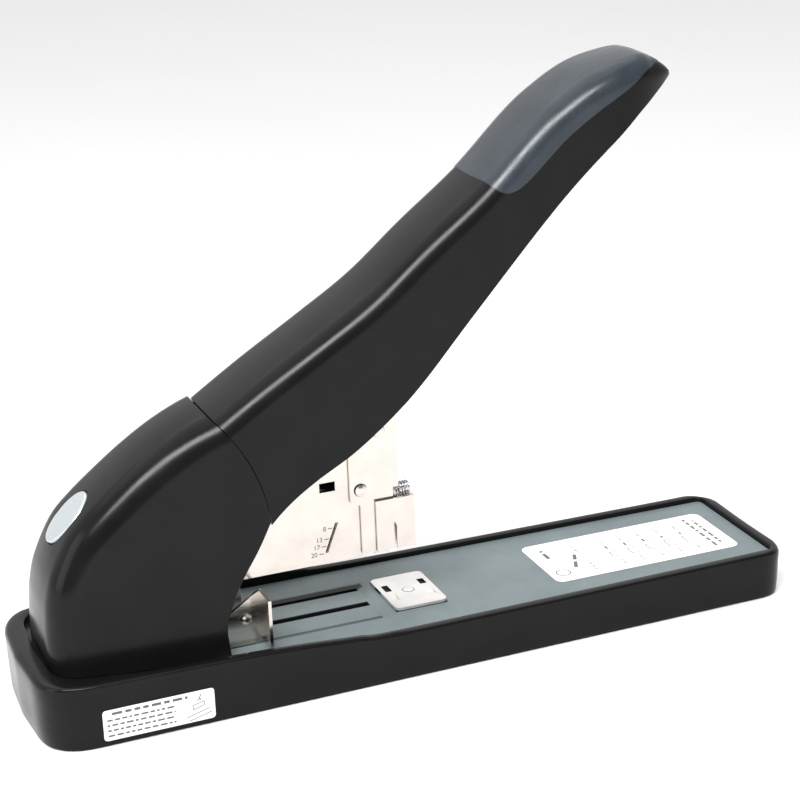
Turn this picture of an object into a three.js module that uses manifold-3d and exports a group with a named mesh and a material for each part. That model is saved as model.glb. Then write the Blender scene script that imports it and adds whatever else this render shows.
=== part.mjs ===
// Heavy-duty desk stapler with a deep throat, millimetres, +Z up, +X towards the open front of the base.
// The origin is the middle of the footprint, at the level of the feet. Parts are built from the underside of
// the base, and the whole assembly is raised by the height of the feet.
import * as THREE from "three";
import { mergeVertices } from "three/addons/utils/BufferGeometryUtils.js";
import Module from "manifold-3d";

const wasm = await Module();
wasm.setup();

// ---------------------------------------------------------------- driving dimensions
const FOOT_HEIGHT = 0.8;
const SHEET = 1.2; // steel sheet
const GAP = 0.3; // clearance between pieces that fit round each other
const REST_GAP = 0.1; // between flat faces that lie on each other

// base
const BASE_HALF_LENGTH = 150;
const BASE_HALF_WIDTH_REAR = 37.7;
const BASE_HALF_WIDTH_FRONT = 33.2;
const BASE_CORNER_REAR = 18;
const BASE_CORNER_FRONT = 12;
const RECESS_CORNER_FRONT = 2.5;
const RIM_FRONT = 18.7; // rim height along the front half
const RIM_REAR = 24.5;
const RIM_WIDTH = 4;
const TRAY_WALL = 3;
const DECK_BOTTOM = 11.5;
const DECK_TOP = 14;
const PANEL_TOP = 16.85;
const PANEL_REAR = -79.4;
const PANEL_FRONT = 144.8;
const POCKET_DEPTH = 1.1;
const POCKET_HALF_WIDTH = 16.5;
const POCKET_FRONT = -11;

// anvil
const ANVIL_X = 2.3;
const ANVIL_LENGTH = 21;
const ANVIL_WIDTH = 28.5;
const ANVIL_BOTTOM = 17.15;
const ANVIL_TOP = 18.2;
const GROOVE_OFFSET = 7.4; // from the anvil's pin to each pair of clinching grooves

// pivots, both on the axis Y
const HEAD_PIVOT = { x: -126, z: 30 };
const HANDLE_PIVOT = { x: -126, z: 58.8 };
const AXLE_RADIUS = 3.5;

// head
const HEAD_HALF_WIDTH = 8.5;
const HEAD_BOTTOM = 39.6;
const NOSE_HALF_WIDTH = 9.8;
const NOSE_FRONT = -3.8;
const NOSE_REAR = -22.9;
const BLOCK_HALF_WIDTH = 11.1;
const STAPLE_HALF_CROWN = 6.5;
const STAPLE_WIRE = 0.6;
const STAPLE_TOP = 64.2;
const STAPLE_BOTTOM = 41.2;
const DRIVER_FRONT = -5;
const DRIVER_THICKNESS = 0.8;
const ROLLER = { x: -18, z: 109, radius: 4.7 };
const ROD_HEIGHT = 54;

// handle and cover
const LIP_RADIUS = 69; // edge of the cover, round the handle's pivot
const COVER_HALF_WIDTH = 21.5;
const HANDLE_HALF_WIDTH = 19;
const SHELL = 2.5;
const PAD_THICKNESS = 1.6;
const LEVER_HALF_WIDTH = 13.5;
const BRACKET_HALF_WIDTH = 15.6;
const BUTTON = { x: -126.5, z: 73.2, long: 11, short: 8, tilt: -45 };

// ---------------------------------------------------------------- materials
const material = (color, roughness, metalness) =>
  new THREE.MeshStandardMaterial({ color, roughness, metalness });
const BLACK_PLASTIC = material(0x232323, 0.42, 0);
const SLATE_PLASTIC = material(0x76827f, 0.55, 0);
const GRIP_RUBBER = material(0x41474f, 0.6, 0);
const FOOT_RUBBER = material(0x1a1a1a, 0.9, 0);
const NICKEL = material(0xd8d4cc, 0.22, 1);
const STEEL = material(0x9a9c9e, 0.35, 1);
const ZINC = material(0xb4b6b8, 0.4, 1);
const SPRING_STEEL = material(0x8c8e92, 0.3, 1);
const SILVER_PLASTIC = material(0xb9c2c6, 0.25, 0.3);
const STAPLE_STEEL = material(0xc4c6c8, 0.3, 1);
const LABEL_PAPER = material(0xf2f2f0, 0.6, 0);

// ---------------------------------------------------------------- solids
function toSolid(geometry) {
  const bare = geometry.clone();
  bare.deleteAttribute("normal");
  bare.deleteAttribute("uv");
  const merged = mergeVertices(bare, 1e-4);
  return new wasm.Manifold(
    new wasm.Mesh({
      numProp: 3,
      vertProperties: merged.attributes.position.array,
      triVerts: new Uint32Array(merged.index.array),
    }),
  );
}

function toGeometry(solid) {
  const mesh = solid.getMesh();
  const geometry = new THREE.BufferGeometry();
  geometry.setAttribute("position", new THREE.BufferAttribute(mesh.vertProperties, 3));
  geometry.setIndex(new THREE.BufferAttribute(mesh.triVerts, 1));
  return geometry;
}

const join = (...solids) => solids.reduce((a, b) => a.add(b));
const cut = (body, ...tools) => tools.reduce((a, b) => a.subtract(b), body);

// A closed outline from corners [x, y, radius]; a corner with a radius is rounded off.
function outline(corners) {
  const shape = new THREE.Shape();
  const count = corners.length;
  corners.forEach(([x, y, radius = 0], i) => {
    const [px, py] = corners[(i + count - 1) % count];
    const [nx, ny] = corners[(i + 1) % count];
    const toPrevious = new THREE.Vector2(px - x, py - y);
    const toNext = new THREE.Vector2(nx - x, ny - y);
    const reach = Math.min(radius, toPrevious.length() / 2, toNext.length() / 2);
    const start = toPrevious.setLength(reach).add(new THREE.Vector2(x, y));
    const end = toNext.setLength(reach).add(new THREE.Vector2(x, y));
    if (i === 0) shape.moveTo(start.x, start.y);
    else shape.lineTo(start.x, start.y);
    if (reach > 0) shape.quadraticCurveTo(x, y, end.x, end.y);
  });
  shape.closePath();
  return shape;
}

// A closed outline: a smooth curve through the first points, then straight along the others.
function curvedOutline(curvePoints, cornerPoints = []) {
  const points = curvePoints.map(([x, y]) => new THREE.Vector2(x, y));
  const shape = new THREE.Shape();
  shape.moveTo(points[0].x, points[0].y);
  shape.splineThru(points.slice(1));
  cornerPoints.forEach(([x, y]) => shape.lineTo(x, y));
  shape.closePath();
  return shape;
}

const extrude = (shape, depth, steps) =>
  new THREE.ExtrudeGeometry(shape, { depth, bevelEnabled: false, curveSegments: steps });

// Outline in X and Y, from one height to another.
function flatSlab(shape, low, high, steps = 6) {
  return toSolid(extrude(shape, high - low, steps).translate(0, 0, low));
}

// Outline in X and Z, from one Y to another.
function sideSlab(shape, low, high, steps = 6) {
  return toSolid(extrude(shape, high - low, steps).rotateX(Math.PI / 2).translate(0, high, 0));
}

function box(lowX, highX, lowY, highY, lowZ, highZ) {
  const geometry = new THREE.BoxGeometry(highX - lowX, highY - lowY, highZ - lowZ);
  return toSolid(
    geometry.translate((lowX + highX) / 2, (lowY + highY) / 2, (lowZ + highZ) / 2),
  );
}

const rod = (radius, length, sides) => new THREE.CylinderGeometry(radius, radius, length, sides);

function rodAlongX(radius, low, high, y, z, sides = 20) {
  const geometry = rod(radius, high - low, sides).rotateZ(Math.PI / 2);
  return toSolid(geometry.translate((low + high) / 2, y, z));
}

function rodAlongY(radius, low, high, x, z, sides = 20) {
  return toSolid(rod(radius, high - low, sides).translate(x, (low + high) / 2, z));
}

function rodAlongZ(radius, low, high, x, y, sides = 20) {
  const geometry = rod(radius, high - low, sides).rotateX(Math.PI / 2);
  return toSolid(geometry.translate(x, y, (low + high) / 2));
}

// The same solid on both sides of the middle plane.
function bothSides(make) {
  return join(make(1), make(-1));
}

// A coil spring about the axis Z, standing on Z = 0.
class Helix extends THREE.Curve {
  constructor(radius, pitch, turns) {
    super();
    Object.assign(this, { radius, pitch, turns });
  }
  getPoint(t, target = new THREE.Vector3()) {
    const angle = t * this.turns * 2 * Math.PI;
    return target.set(
      this.radius * Math.cos(angle),
      this.radius * Math.sin(angle),
      t * this.turns * this.pitch,
    );
  }
}

function circle(radius, sides) {
  const corners = [];
  for (let i = 0; i < sides; i++) {
    const angle = (i / sides) * 2 * Math.PI;
    corners.push([radius * Math.cos(angle), radius * Math.sin(angle)]);
  }
  return outline(corners);
}

function coil(radius, wire, turns, height, stepsPerTurn = 9) {
  const path = new Helix(radius, (height - 2 * wire) / turns, turns);
  const geometry = new THREE.ExtrudeGeometry(circle(wire, 5), {
    steps: Math.round(turns * stepsPerTurn),
    extrudePath: path,
    bevelEnabled: false,
  });
  return geometry.translate(0, 0, wire);
}

const planeCurve = (points) =>
  new THREE.SplineCurve(points.map(([x, z]) => new THREE.Vector2(x, z)));

// A cross-section with rounded top edges, carried along a body between its top edge and its underside.
// The result lies the inset inside the outer skin and ends the overrun below the underside.
const FULL_DEPTH = 200; // stands for the underside in the cross-section
function carriedBody({ top, bottom, half, round, steps, share }, inset = 0, overrun = 0) {
  const section = outline([
    [inset - half, -FULL_DEPTH],
    [half - inset, -FULL_DEPTH],
    [half - inset, -inset, round - inset],
    [inset - half, -inset, round - inset],
  ]);
  const geometry = new THREE.ExtrudeGeometry(section, {
    depth: 1,
    steps,
    bevelEnabled: false,
    curveSegments: 5,
  });
  const used = 1 - inset / top.getLength();
  return toSolid(geometry).warp((point) => {
    const along = point[2] * used;
    const edge = top.getPointAt(along);
    const down = bottom.getPointAt(along).sub(edge);
    const height = down.length();
    down.normalize();
    const isUnderside = -point[1] > FULL_DEPTH / 2;
    const depth = isUnderside ? height + overrun : -point[1] * Math.min(1, height / 15);
    point[1] = point[0] * share(along, depth);
    point[0] = edge.x + down.x * depth;
    point[2] = edge.y + down.y * depth;
  });
}

// ---------------------------------------------------------------- the assembly
const stapler = new THREE.Group();
stapler.position.z = FOOT_HEIGHT;

function add(name, shape, finish) {
  const geometry = shape.isBufferGeometry ? shape : toGeometry(shape);
  const mesh = new THREE.Mesh(geometry, finish);
  mesh.name = name;
  stapler.add(mesh);
  return mesh;
}

// ---------------------------------------------------------------- base
// Plan of the base, moved in by a margin; the rear end is slightly bowed.
function basePlan(margin, { rearMargin = margin, frontMargin = margin, frontCorner } = {}) {
  const rear = -BASE_HALF_LENGTH + rearMargin;
  const front = BASE_HALF_LENGTH - frontMargin;
  const wide = BASE_HALF_WIDTH_REAR - margin;
  const narrow = BASE_HALF_WIDTH_FRONT - margin;
  const roundRear = BASE_CORNER_REAR - margin;
  const roundFront = frontCorner ?? BASE_CORNER_FRONT - margin;
  const bow = 2;
  return outline([
    [rear, 0, wide],
    [rear + bow, -wide, roundRear],
    [front, -narrow, roundFront],
    [front, narrow, roundFront],
    [rear + bow, wide, roundRear],
  ]);
}

function rimProfile() {
  return curvedOutline(
    [
      [-5, RIM_FRONT],
      [-30, 19.9],
      [-55, 21.8],
      [-80, 23],
      [-115, 23.8],
      [-151, RIM_REAR],
    ],
    [
      [-151, -1],
      [151, -1],
      [151, RIM_FRONT],
    ],
  );
}

// Height of the deck round the cover: level with the panel at the front, rising to the rear.
const DECK_CURVE = [
  [-79.7, 16.6],
  [-98, 17.7],
  [-118, 19.7],
  [-143, 21.9],
];

function aboveDeck(lift) {
  return sideSlab(
    curvedOutline(
      DECK_CURVE.map(([x, z]) => [x, z + lift]),
      [
        [-143, 250],
        [151, 250],
        [151, DECK_TOP + lift],
        [-79.7, DECK_TOP + lift],
      ],
    ),
    -60,
    60,
  );
}

function baseTray() {
  const body = flatSlab(basePlan(0), 0, 30).intersect(sideSlab(rimProfile(), -50, 50));
  const recessPlan = basePlan(RIM_WIDTH, {
    rearMargin: 7.4,
    frontMargin: BASE_HALF_LENGTH - PANEL_FRONT - GAP,
    frontCorner: RECESS_CORNER_FRONT,
  });
  const recess = flatSlab(recessPlan, 1, 50).intersect(aboveDeck(0));
  const bracketWell = box(-136, -79.8, -19, 19, DECK_TOP, 40);
  const hollow = flatSlab(basePlan(TRAY_WALL), -1, DECK_BOTTOM);
  const guideOpening = box(-79.9, -11.5, -18, 18, 10, 15);
  const anvilOpening = box(-8.6, 13.2, -14.5, 14.5, 10, 15);
  const bracketHoles = BRACKET_SCREWS.map((x) => rodAlongZ(1.8, 10, 15, x, 0, 12));
  const bosses = SCREW_PLACES.map(([x, y]) => rodAlongZ(4, 1.8, DECK_BOTTOM + 0.5, x, y));
  const holes = SCREW_PLACES.map(([x, y]) => rodAlongZ(1.8, -2, 9, x, y, 12));
  return cut(
    join(cut(body, recess, bracketWell, hollow, guideOpening, anvilOpening), ...bosses),
    ...holes,
    ...bracketHoles,
  );
}

const BRACKET_SCREWS = [-104, -120];
const SCREW_PLACES = [
  [112, -20],
  [112, 20],
  [-112, -26],
  [-112, 26],
];
const FOOT_PLACES = {
  foot_front_near: [132, -20],
  foot_front_far: [132, 20],
  foot_rear_near: [-132, -23],
  foot_rear_far: [-132, 23],
};

function basePanel() {
  const inset = RIM_WIDTH + GAP;
  const widthAt = (x) =>
    THREE.MathUtils.mapLinear(
      x,
      -BASE_HALF_LENGTH,
      BASE_HALF_LENGTH,
      BASE_HALF_WIDTH_REAR,
      BASE_HALF_WIDTH_FRONT,
    ) - inset;
  const plan = outline([
    [PANEL_REAR, -widthAt(PANEL_REAR)],
    [PANEL_FRONT, -widthAt(PANEL_FRONT), RECESS_CORNER_FRONT],
    [PANEL_FRONT, widthAt(PANEL_FRONT), RECESS_CORNER_FRONT],
    [PANEL_REAR, widthAt(PANEL_REAR)],
  ]);
  const slope = 2.2;
  const pocketShape = outline([
    [PANEL_REAR - 20, -POCKET_HALF_WIDTH],
    [POCKET_FRONT, -POCKET_HALF_WIDTH],
    [POCKET_FRONT, POCKET_HALF_WIDTH],
    [PANEL_REAR - 20, POCKET_HALF_WIDTH],
  ]);
  const pocket = toSolid(
    new THREE.ExtrudeGeometry(pocketShape, {
      depth: 3,
      bevelEnabled: true,
      bevelThickness: POCKET_DEPTH,
      bevelSize: slope,
      bevelOffset: -slope,
      bevelSegments: 1,
      curveSegments: 3,
    }).translate(0, 0, PANEL_TOP),
  );
  const slot = (y, halfWidth, low, high) =>
    box(low, high, y - halfWidth, y + halfWidth, DECK_TOP - 1, PANEL_TOP + 1);
  const anvilHole = box(ANVIL_X - 10.5, ANVIL_X + 10.5, -14.3, 14.3, DECK_TOP - 1, PANEL_TOP + 1);
  return cut(
    flatSlab(plan, DECK_TOP + REST_GAP, PANEL_TOP),
    pocket,
    box(PANEL_REAR - 1, -77.3, -24.2, 24.2, DECK_TOP - 1, PANEL_TOP + 1),
    slot(0, 1.9, -74, -14),
    slot(13.4, 1.1, -76, -13.6),
    slot(-13.4, 1.1, -76, -13.6),
    anvilHole,
  );
}

function bottomPlate() {
  const holes = SCREW_PLACES.map(([x, y]) => rodAlongZ(2, -1, 3, x, y, 12));
  return cut(flatSlab(basePlan(TRAY_WALL + GAP), 0.4, 1.6), ...holes);
}

function foot(x, y) {
  const profile = [
    [0, -FOOT_HEIGHT],
    [6.4, -FOOT_HEIGHT],
    [7, 0.1],
    [7, 0.3],
    [0, 0.3],
  ].map(([r, z]) => new THREE.Vector2(r, z));
  return new THREE.LatheGeometry(profile, 24).rotateX(Math.PI / 2).translate(x, y, 0);
}

function panScrew(headRadius, headHeight, shankRadius, length) {
  const profile = [
    [0, -length],
    [shankRadius, -length],
    [shankRadius, 0],
    [headRadius, 0],
    [headRadius * 0.85, headHeight * 0.7],
    [headRadius * 0.4, headHeight],
    [0, headHeight],
  ].map(([r, z]) => new THREE.Vector2(r, z));
  return new THREE.LatheGeometry(profile, 18).rotateX(Math.PI / 2);
}

add("base_tray", baseTray(), BLACK_PLASTIC);
add("base_panel", basePanel(), SLATE_PLASTIC);
add("bottom_plate", bottomPlate(), ZINC);
for (const [name, [x, y]] of Object.entries(FOOT_PLACES)) add(name, foot(x, y), FOOT_RUBBER);
SCREW_PLACES.forEach(([x, y], i) => {
  const screw = panScrew(3.2, 0.9, 1.4, 7).rotateX(Math.PI).translate(x, y, 0.3);
  add(`base_screw_${i + 1}`, screw, STEEL);
});

// ---------------------------------------------------------------- anvil
function anvilPlate() {
  const halfLength = ANVIL_LENGTH / 2;
  const halfWidth = ANVIL_WIDTH / 2;
  const plate = flatSlab(
    outline([
      [-halfLength, -halfWidth, 2.5],
      [halfLength, -halfWidth, 2.5],
      [halfLength, halfWidth, 2.5],
      [-halfLength, halfWidth, 2.5],
    ]),
    ANVIL_BOTTOM,
    ANVIL_TOP,
  );
  // Each staple leg lands in its own trough; the far pair curls legs inwards, the near pair outwards.
  const trough = (x, y, length) => {
    const dip = new THREE.Shape();
    dip.moveTo(y - length / 2, ANVIL_TOP + 0.5);
    dip.lineTo(y - length / 2, ANVIL_TOP);
    dip.quadraticCurveTo(y, ANVIL_TOP - 1.5, y + length / 2, ANVIL_TOP);
    dip.lineTo(y + length / 2, ANVIL_TOP + 0.5);
    dip.closePath();
    const geometry = extrude(dip, 2.6, 6).rotateX(Math.PI / 2).rotateZ(Math.PI / 2);
    return toSolid(geometry.translate(x - 1.3, 0, 0));
  };
  const grooves = [
    trough(-GROOVE_OFFSET, 4.2, 6.4),
    trough(-GROOVE_OFFSET, -4.2, 6.4),
    trough(GROOVE_OFFSET, 5, 5),
    trough(GROOVE_OFFSET, -5, 5),
  ];
  const pinHole = rodAlongZ(2.4, ANVIL_BOTTOM - 1, ANVIL_TOP + 1, 0, 0, 24);
  return cut(plate, ...grooves, pinHole).translate(ANVIL_X, 0, 0);
}

function anvilHolder() {
  const block = flatSlab(
    outline([
      [ANVIL_X - 10.2, -14, 2],
      [ANVIL_X + 10.2, -14, 2],
      [ANVIL_X + 10.2, 14, 2],
      [ANVIL_X - 10.2, 14, 2],
    ]),
    8,
    ANVIL_BOTTOM - REST_GAP,
  );
  const springWell = rodAlongZ(5.2, 4, 14, ANVIL_X, 0, 24);
  const pinHole = rodAlongZ(1.9, 0, 20, ANVIL_X, 0, 24);
  return cut(block, springWell, pinHole);
}

function anvilPin() {
  const profile = [
    [0, 3],
    [3.6, 3],
    [3.6, 4],
    [1.6, 4],
    [1.6, 17.2],
    [2.1, 17.6],
    [2.1, 18.3],
    [0, 18.45],
  ].map(([r, z]) => new THREE.Vector2(r, z));
  return new THREE.LatheGeometry(profile, 24).rotateX(Math.PI / 2).translate(ANVIL_X, 0, 0);
}

add("anvil_plate", anvilPlate(), NICKEL);
add("anvil_holder", anvilHolder(), BLACK_PLASTIC);
add("anvil_pin", anvilPin(), STEEL);
add("anvil_spring", coil(3.4, 0.45, 5, 9.4).translate(ANVIL_X, 0, 4.3), SPRING_STEEL);

// ---------------------------------------------------------------- sliding paper guide
const GUIDE_HALF_WIDTH = 14;
const GUIDE_FRONT = -60.5;
const GUIDE_RIVET = { x: -66.8, z: 26.4 };

function paperGuide() {
  const rear = -77;
  const wall = outline([
    [rear, 18.2],
    [rear, 26.8, 1],
    [-62.8, 36.1, 1],
    [GUIDE_FRONT, 36.8, 0.8],
    [GUIDE_FRONT, 18.2],
    [-64, 18.2],
    [-64, 12.3],
    [-74, 12.3],
    [-74, 18.2],
  ]);
  const wallAt = (side) => {
    const inner = side * (GUIDE_HALF_WIDTH - SHEET);
    const outer = side * GUIDE_HALF_WIDTH;
    return sideSlab(wall, Math.min(inner, outer), Math.max(inner, outer));
  };
  const flangeAt = (side) => {
    const near = side * (GUIDE_HALF_WIDTH - SHEET);
    const far = side * 25.3;
    return box(
      GUIDE_FRONT - SHEET,
      GUIDE_FRONT,
      Math.min(near, far),
      Math.max(near, far),
      18.2,
      37,
    );
  };
  const strap = box(-74, -64, -GUIDE_HALF_WIDTH, GUIDE_HALF_WIDTH, 12.3, 12.3 + SHEET);
  const rivetHoles = rodAlongY(1.7, -20, 20, GUIDE_RIVET.x, GUIDE_RIVET.z, 16);
  return cut(join(bothSides(wallAt), bothSides(flangeAt), strap), rivetHoles);
}

function guideSlider() {
  const block = box(-76, -62, -16.5, 16.5, 8.6, 12);
  const groove = box(-73, -65, -8, 8, 10.5, 13);
  return cut(block, groove);
}

// A domed rivet along Y with its head outside the given face.
function sideRivet(side, face, x, z, headRadius, headHeight, shankRadius, length) {
  const rivet = panScrew(headRadius, headHeight, shankRadius, length);
  rivet.rotateX(side > 0 ? -Math.PI / 2 : Math.PI / 2);
  return rivet.translate(x, side * face, z);
}

add("paper_guide", paperGuide(), NICKEL);
add("guide_slider", guideSlider(), BLACK_PLASTIC);
for (const [name, side] of [
  ["guide_rivet_near", -1],
  ["guide_rivet_far", 1],
]) {
  const face = GUIDE_HALF_WIDTH + REST_GAP;
  const shank = SHEET + REST_GAP + 0.3;
  add(name, sideRivet(side, face, GUIDE_RIVET.x, GUIDE_RIVET.z, 2.3, 1, 1.4, shank), NICKEL);
}

// ---------------------------------------------------------------- pivot bracket and axles
function pivotBracket() {
  const cheek = outline([
    [-131, 14.2],
    [-110, 14.2, 2],
    [-114, 40, 10],
    [-119.5, 62, 7],
    [-126, 65, 5],
    [-131, 60, 6],
    [-132.5, 45, 6],
  ]);
  const cheekAt = (side) => {
    const inner = side * (BRACKET_HALF_WIDTH - 1.5);
    const outer = side * BRACKET_HALF_WIDTH;
    return sideSlab(cheek, Math.min(inner, outer), Math.max(inner, outer));
  };
  const strap = box(-131, -81.5, -BRACKET_HALF_WIDTH, BRACKET_HALF_WIDTH, 14.2, 15.7);
  const bores = [HEAD_PIVOT, HANDLE_PIVOT].map(({ x, z }) =>
    rodAlongY(AXLE_RADIUS + 0.05, -20, 20, x, z, 32),
  );
  const screwHoles = BRACKET_SCREWS.map((x) => rodAlongZ(2, 10, 20, x, 0, 12));
  return cut(join(bothSides(cheekAt), strap), ...bores, ...screwHoles);
}

// Headed pin along Y with a shallow retaining groove near its end.
function axle({ x, z }) {
  const half = BRACKET_HALF_WIDTH + 0.8;
  const profile = [
    [0, -half],
    [3.8, -half],
    [3.8, -half + 0.6],
    [AXLE_RADIUS, -half + 0.6],
    [AXLE_RADIUS, half - 0.6],
    [AXLE_RADIUS - 0.6, half],
    [0, half],
  ].map(([r, y]) => new THREE.Vector2(r, y));
  return new THREE.LatheGeometry(profile, 28).translate(x, 0, z);
}

add("pivot_bracket", pivotBracket(), STEEL);
add("head_axle", axle(HEAD_PIVOT), STEEL);
add("handle_axle", axle(HANDLE_PIVOT), STEEL);
BRACKET_SCREWS.forEach((x, i) => {
  add(`bracket_screw_${i + 1}`, panScrew(3.4, 1.6, 1.6, 4).translate(x, 0, 15.8), STEEL);
});
add("head_spring", coil(5.2, 0.7, 6, 23.2).translate(-88.5, 0, 16), SPRING_STEEL);

// Torsion spring on the handle's axle: two straight legs and a coil between them.
class TorsionPath extends THREE.Curve {
  getPoint(t, target = new THREE.Vector3()) {
    const radius = 5.2;
    const turns = 2.5;
    const leg = 18;
    const start = Math.PI / 2;
    const sweep = turns * 2 * Math.PI;
    const onCoil = (angle) => [radius * Math.cos(angle), radius * Math.sin(angle)];
    const share = 0.15;
    const inner = THREE.MathUtils.clamp((t - share) / (1 - 2 * share), 0, 1);
    const angle = start + inner * sweep;
    let [x, z] = onCoil(angle);
    const before = Math.max(0, (share - t) / share) * leg;
    const after = Math.max(0, (t - 1 + share) / share) * leg;
    x += before * Math.sin(start) - after * Math.sin(start + sweep);
    z += -before * Math.cos(start) + after * Math.cos(start + sweep);
    return target.set(x, inner * turns * 1.5, z);
  }
}

function torsionSpring() {
  return new THREE.ExtrudeGeometry(circle(0.6, 5), {
    steps: 60,
    extrudePath: new TorsionPath(),
    bevelEnabled: false,
  }).translate(HANDLE_PIVOT.x, 7.4, HANDLE_PIVOT.z);
}

add("handle_spring", torsionSpring(), SPRING_STEEL);

// ---------------------------------------------------------------- head
const RIVETS = [
  { x: -18.8, z: 66.7 },
  { x: -10.9, z: 88.7 },
];

function headFrame() {
  const cheek = outline([
    [-8, HEAD_BOTTOM],
    [-95, HEAD_BOTTOM],
    [-113, 24, 6],
    [-126, 20.5, 9],
    [-135.5, 27, 8],
    [-134, 38, 8],
    [-121, 45, 8],
    [-106, 61, 8],
    [-70, 77, 8],
    [-45, 91, 8],
    [-22, 97, 3],
    [-8, 97],
  ]);
  const inner = HEAD_HALF_WIDTH - SHEET;
  const cheekAt = (side) => {
    const a = side * inner;
    const b = side * HEAD_HALF_WIDTH;
    return sideSlab(cheek, Math.min(a, b), Math.max(a, b));
  };
  const floor = box(-95, -14, -HEAD_HALF_WIDTH, HEAD_HALF_WIDTH, HEAD_BOTTOM, HEAD_BOTTOM + SHEET);
  const window = box(-34.3, -28.2, -20, 20, 67.8, 71.5);
  const gauge = sideSlab(
    outline([
      [-33.3, 43.8],
      [-32.1, 43.8],
      [-27.6, 55.1],
      [-28.8, 55.1],
    ]),
    -20,
    20,
  );
  const notch = box(-18.6, -13.6, -20, 20, HEAD_BOTTOM - 1, 41.4);
  const bore = rodAlongY(AXLE_RADIUS + 0.05, -20, 20, HEAD_PIVOT.x, HEAD_PIVOT.z, 32);
  const rivetHoles = RIVETS.map(({ x, z }) => rodAlongY(1.7, -20, 20, x, z, 16));
  return cut(join(bothSides(cheekAt), floor), window, gauge, notch, bore, ...rivetHoles);
}

function noseFrame() {
  const side = outline([
    [NOSE_FRONT, 41.2],
    [-19, 41.2],
    [-19, 60.6, 0.5],
    [NOSE_REAR, 61.4, 2],
    [NOSE_REAR, 101, 3],
    [NOSE_FRONT, 101],
  ]);
  const inner = NOSE_HALF_WIDTH - 1;
  const wallAt = (sign) => {
    const a = sign * inner;
    const b = sign * NOSE_HALF_WIDTH;
    return sideSlab(side, Math.min(a, b), Math.max(a, b));
  };
  const front = box(NOSE_FRONT - 1, NOSE_FRONT, -NOSE_HALF_WIDTH, NOSE_HALF_WIDTH, 65.6, 101);
  const drawerGap = box(-6, 0, -20, 20, 30, 65.6);
  const rivetHoles = RIVETS.map(({ x, z }) => rodAlongY(1.7, -20, 20, x, z, 16));
  return cut(join(bothSides(wallAt), front), drawerGap, ...rivetHoles);
}

add("head_frame", headFrame(), NICKEL);
add("nose_frame", noseFrame(), NICKEL);
RIVETS.forEach(({ x, z }, i) => {
  const level = i === 0 ? "lower" : "upper";
  for (const [place, side] of [
    ["near", -1],
    ["far", 1],
  ]) {
    const face = NOSE_HALF_WIDTH + REST_GAP;
    add(`nose_rivet_${level}_${place}`, sideRivet(side, face, x, z, 2.6, 0.9, 1.4, 2.4), NICKEL);
  }
});
const latch = outline([
  [-66, 37.6, 1.5],
  [-61.8, 37.6, 1.5],
  [-61.8, 39.5],
  [-66, 39.5],
]);
add("drawer_latch", sideSlab(latch, -6, 6), BLACK_PLASTIC);

// ---------------------------------------------------------------- staple drawer
const DRAWER_REAR = -104;
const RAIL_FRONT = -6.6;
const RAIL_HALF_WIDTH = 5.4;
const STRIP_REAR = -58;

function drawerFront() {
  const low = 41.2;
  const high = 61.5;
  const back = -13.4;
  const front = 1.8;
  const shell = cut(
    box(back, front, -BLOCK_HALF_WIDTH, BLOCK_HALF_WIDTH, low, high),
    box(back - 1, front - 1, -BLOCK_HALF_WIDTH + 1, BLOCK_HALF_WIDTH - 1, low - 1, high + 1),
  );
  const cap = box(-4.7, front, -BLOCK_HALF_WIDTH, BLOCK_HALF_WIDTH, high - 1, high);
  const stapleGate = box(-4.7, -3.9, -7, 7, low, high);
  const notch = sideSlab(
    outline([
      [-9.8, 38],
      [-5.5, 38],
      [-5.5, 52.3, 2.1],
      [-9.8, 52.3, 2.1],
    ]),
    -20,
    20,
  );
  const plainNotch = cut(notch, box(-12, -3, -9, 9, 30, 60));
  return cut(join(shell, cap, stapleGate), plainNotch);
}

function magazineRail() {
  const top = 63.3;
  const low = 42;
  const body = cut(
    box(DRAWER_REAR, RAIL_FRONT, -RAIL_HALF_WIDTH, RAIL_HALF_WIDTH, low, top),
    box(
      DRAWER_REAR + 1.5,
      RAIL_FRONT - 1.5,
      -RAIL_HALF_WIDTH + 1,
      RAIL_HALF_WIDTH - 1,
      low - 1,
      top - 1,
    ),
  );
  const slot = box(-100, -58.2, -1.6, 1.6, top - 3, top + 1);
  const rodBore = rodAlongX(1.8, -110, 0, 0, ROD_HEIGHT, 16);
  return cut(body, slot, rodBore);
}

function stapleStrip() {
  const front = -6.1;
  const inner = STAPLE_HALF_CROWN - STAPLE_WIRE;
  return cut(
    box(STRIP_REAR, front, -STAPLE_HALF_CROWN, STAPLE_HALF_CROWN, STAPLE_BOTTOM, STAPLE_TOP),
    box(STRIP_REAR - 1, front + 1, -inner, inner, STAPLE_BOTTOM - 1, STAPLE_TOP - STAPLE_WIRE),
  );
}

function pusher() {
  const rear = -68;
  const front = STRIP_REAR - 0.4;
  const saddle = cut(
    box(rear, front, -6.8, 6.8, 43, 64.8),
    box(rear - 1, front + 1, -5.8, 5.8, 42, 63.8),
  );
  const web = box(rear, front, -1.2, 1.2, ROD_HEIGHT + 1, 64);
  const boss = rodAlongX(3.4, rear, front, 0, ROD_HEIGHT, 20);
  const bore = rodAlongX(1.9, rear - 1, front + 1, 0, ROD_HEIGHT, 16);
  return cut(join(saddle, web, boss), bore);
}

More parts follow.
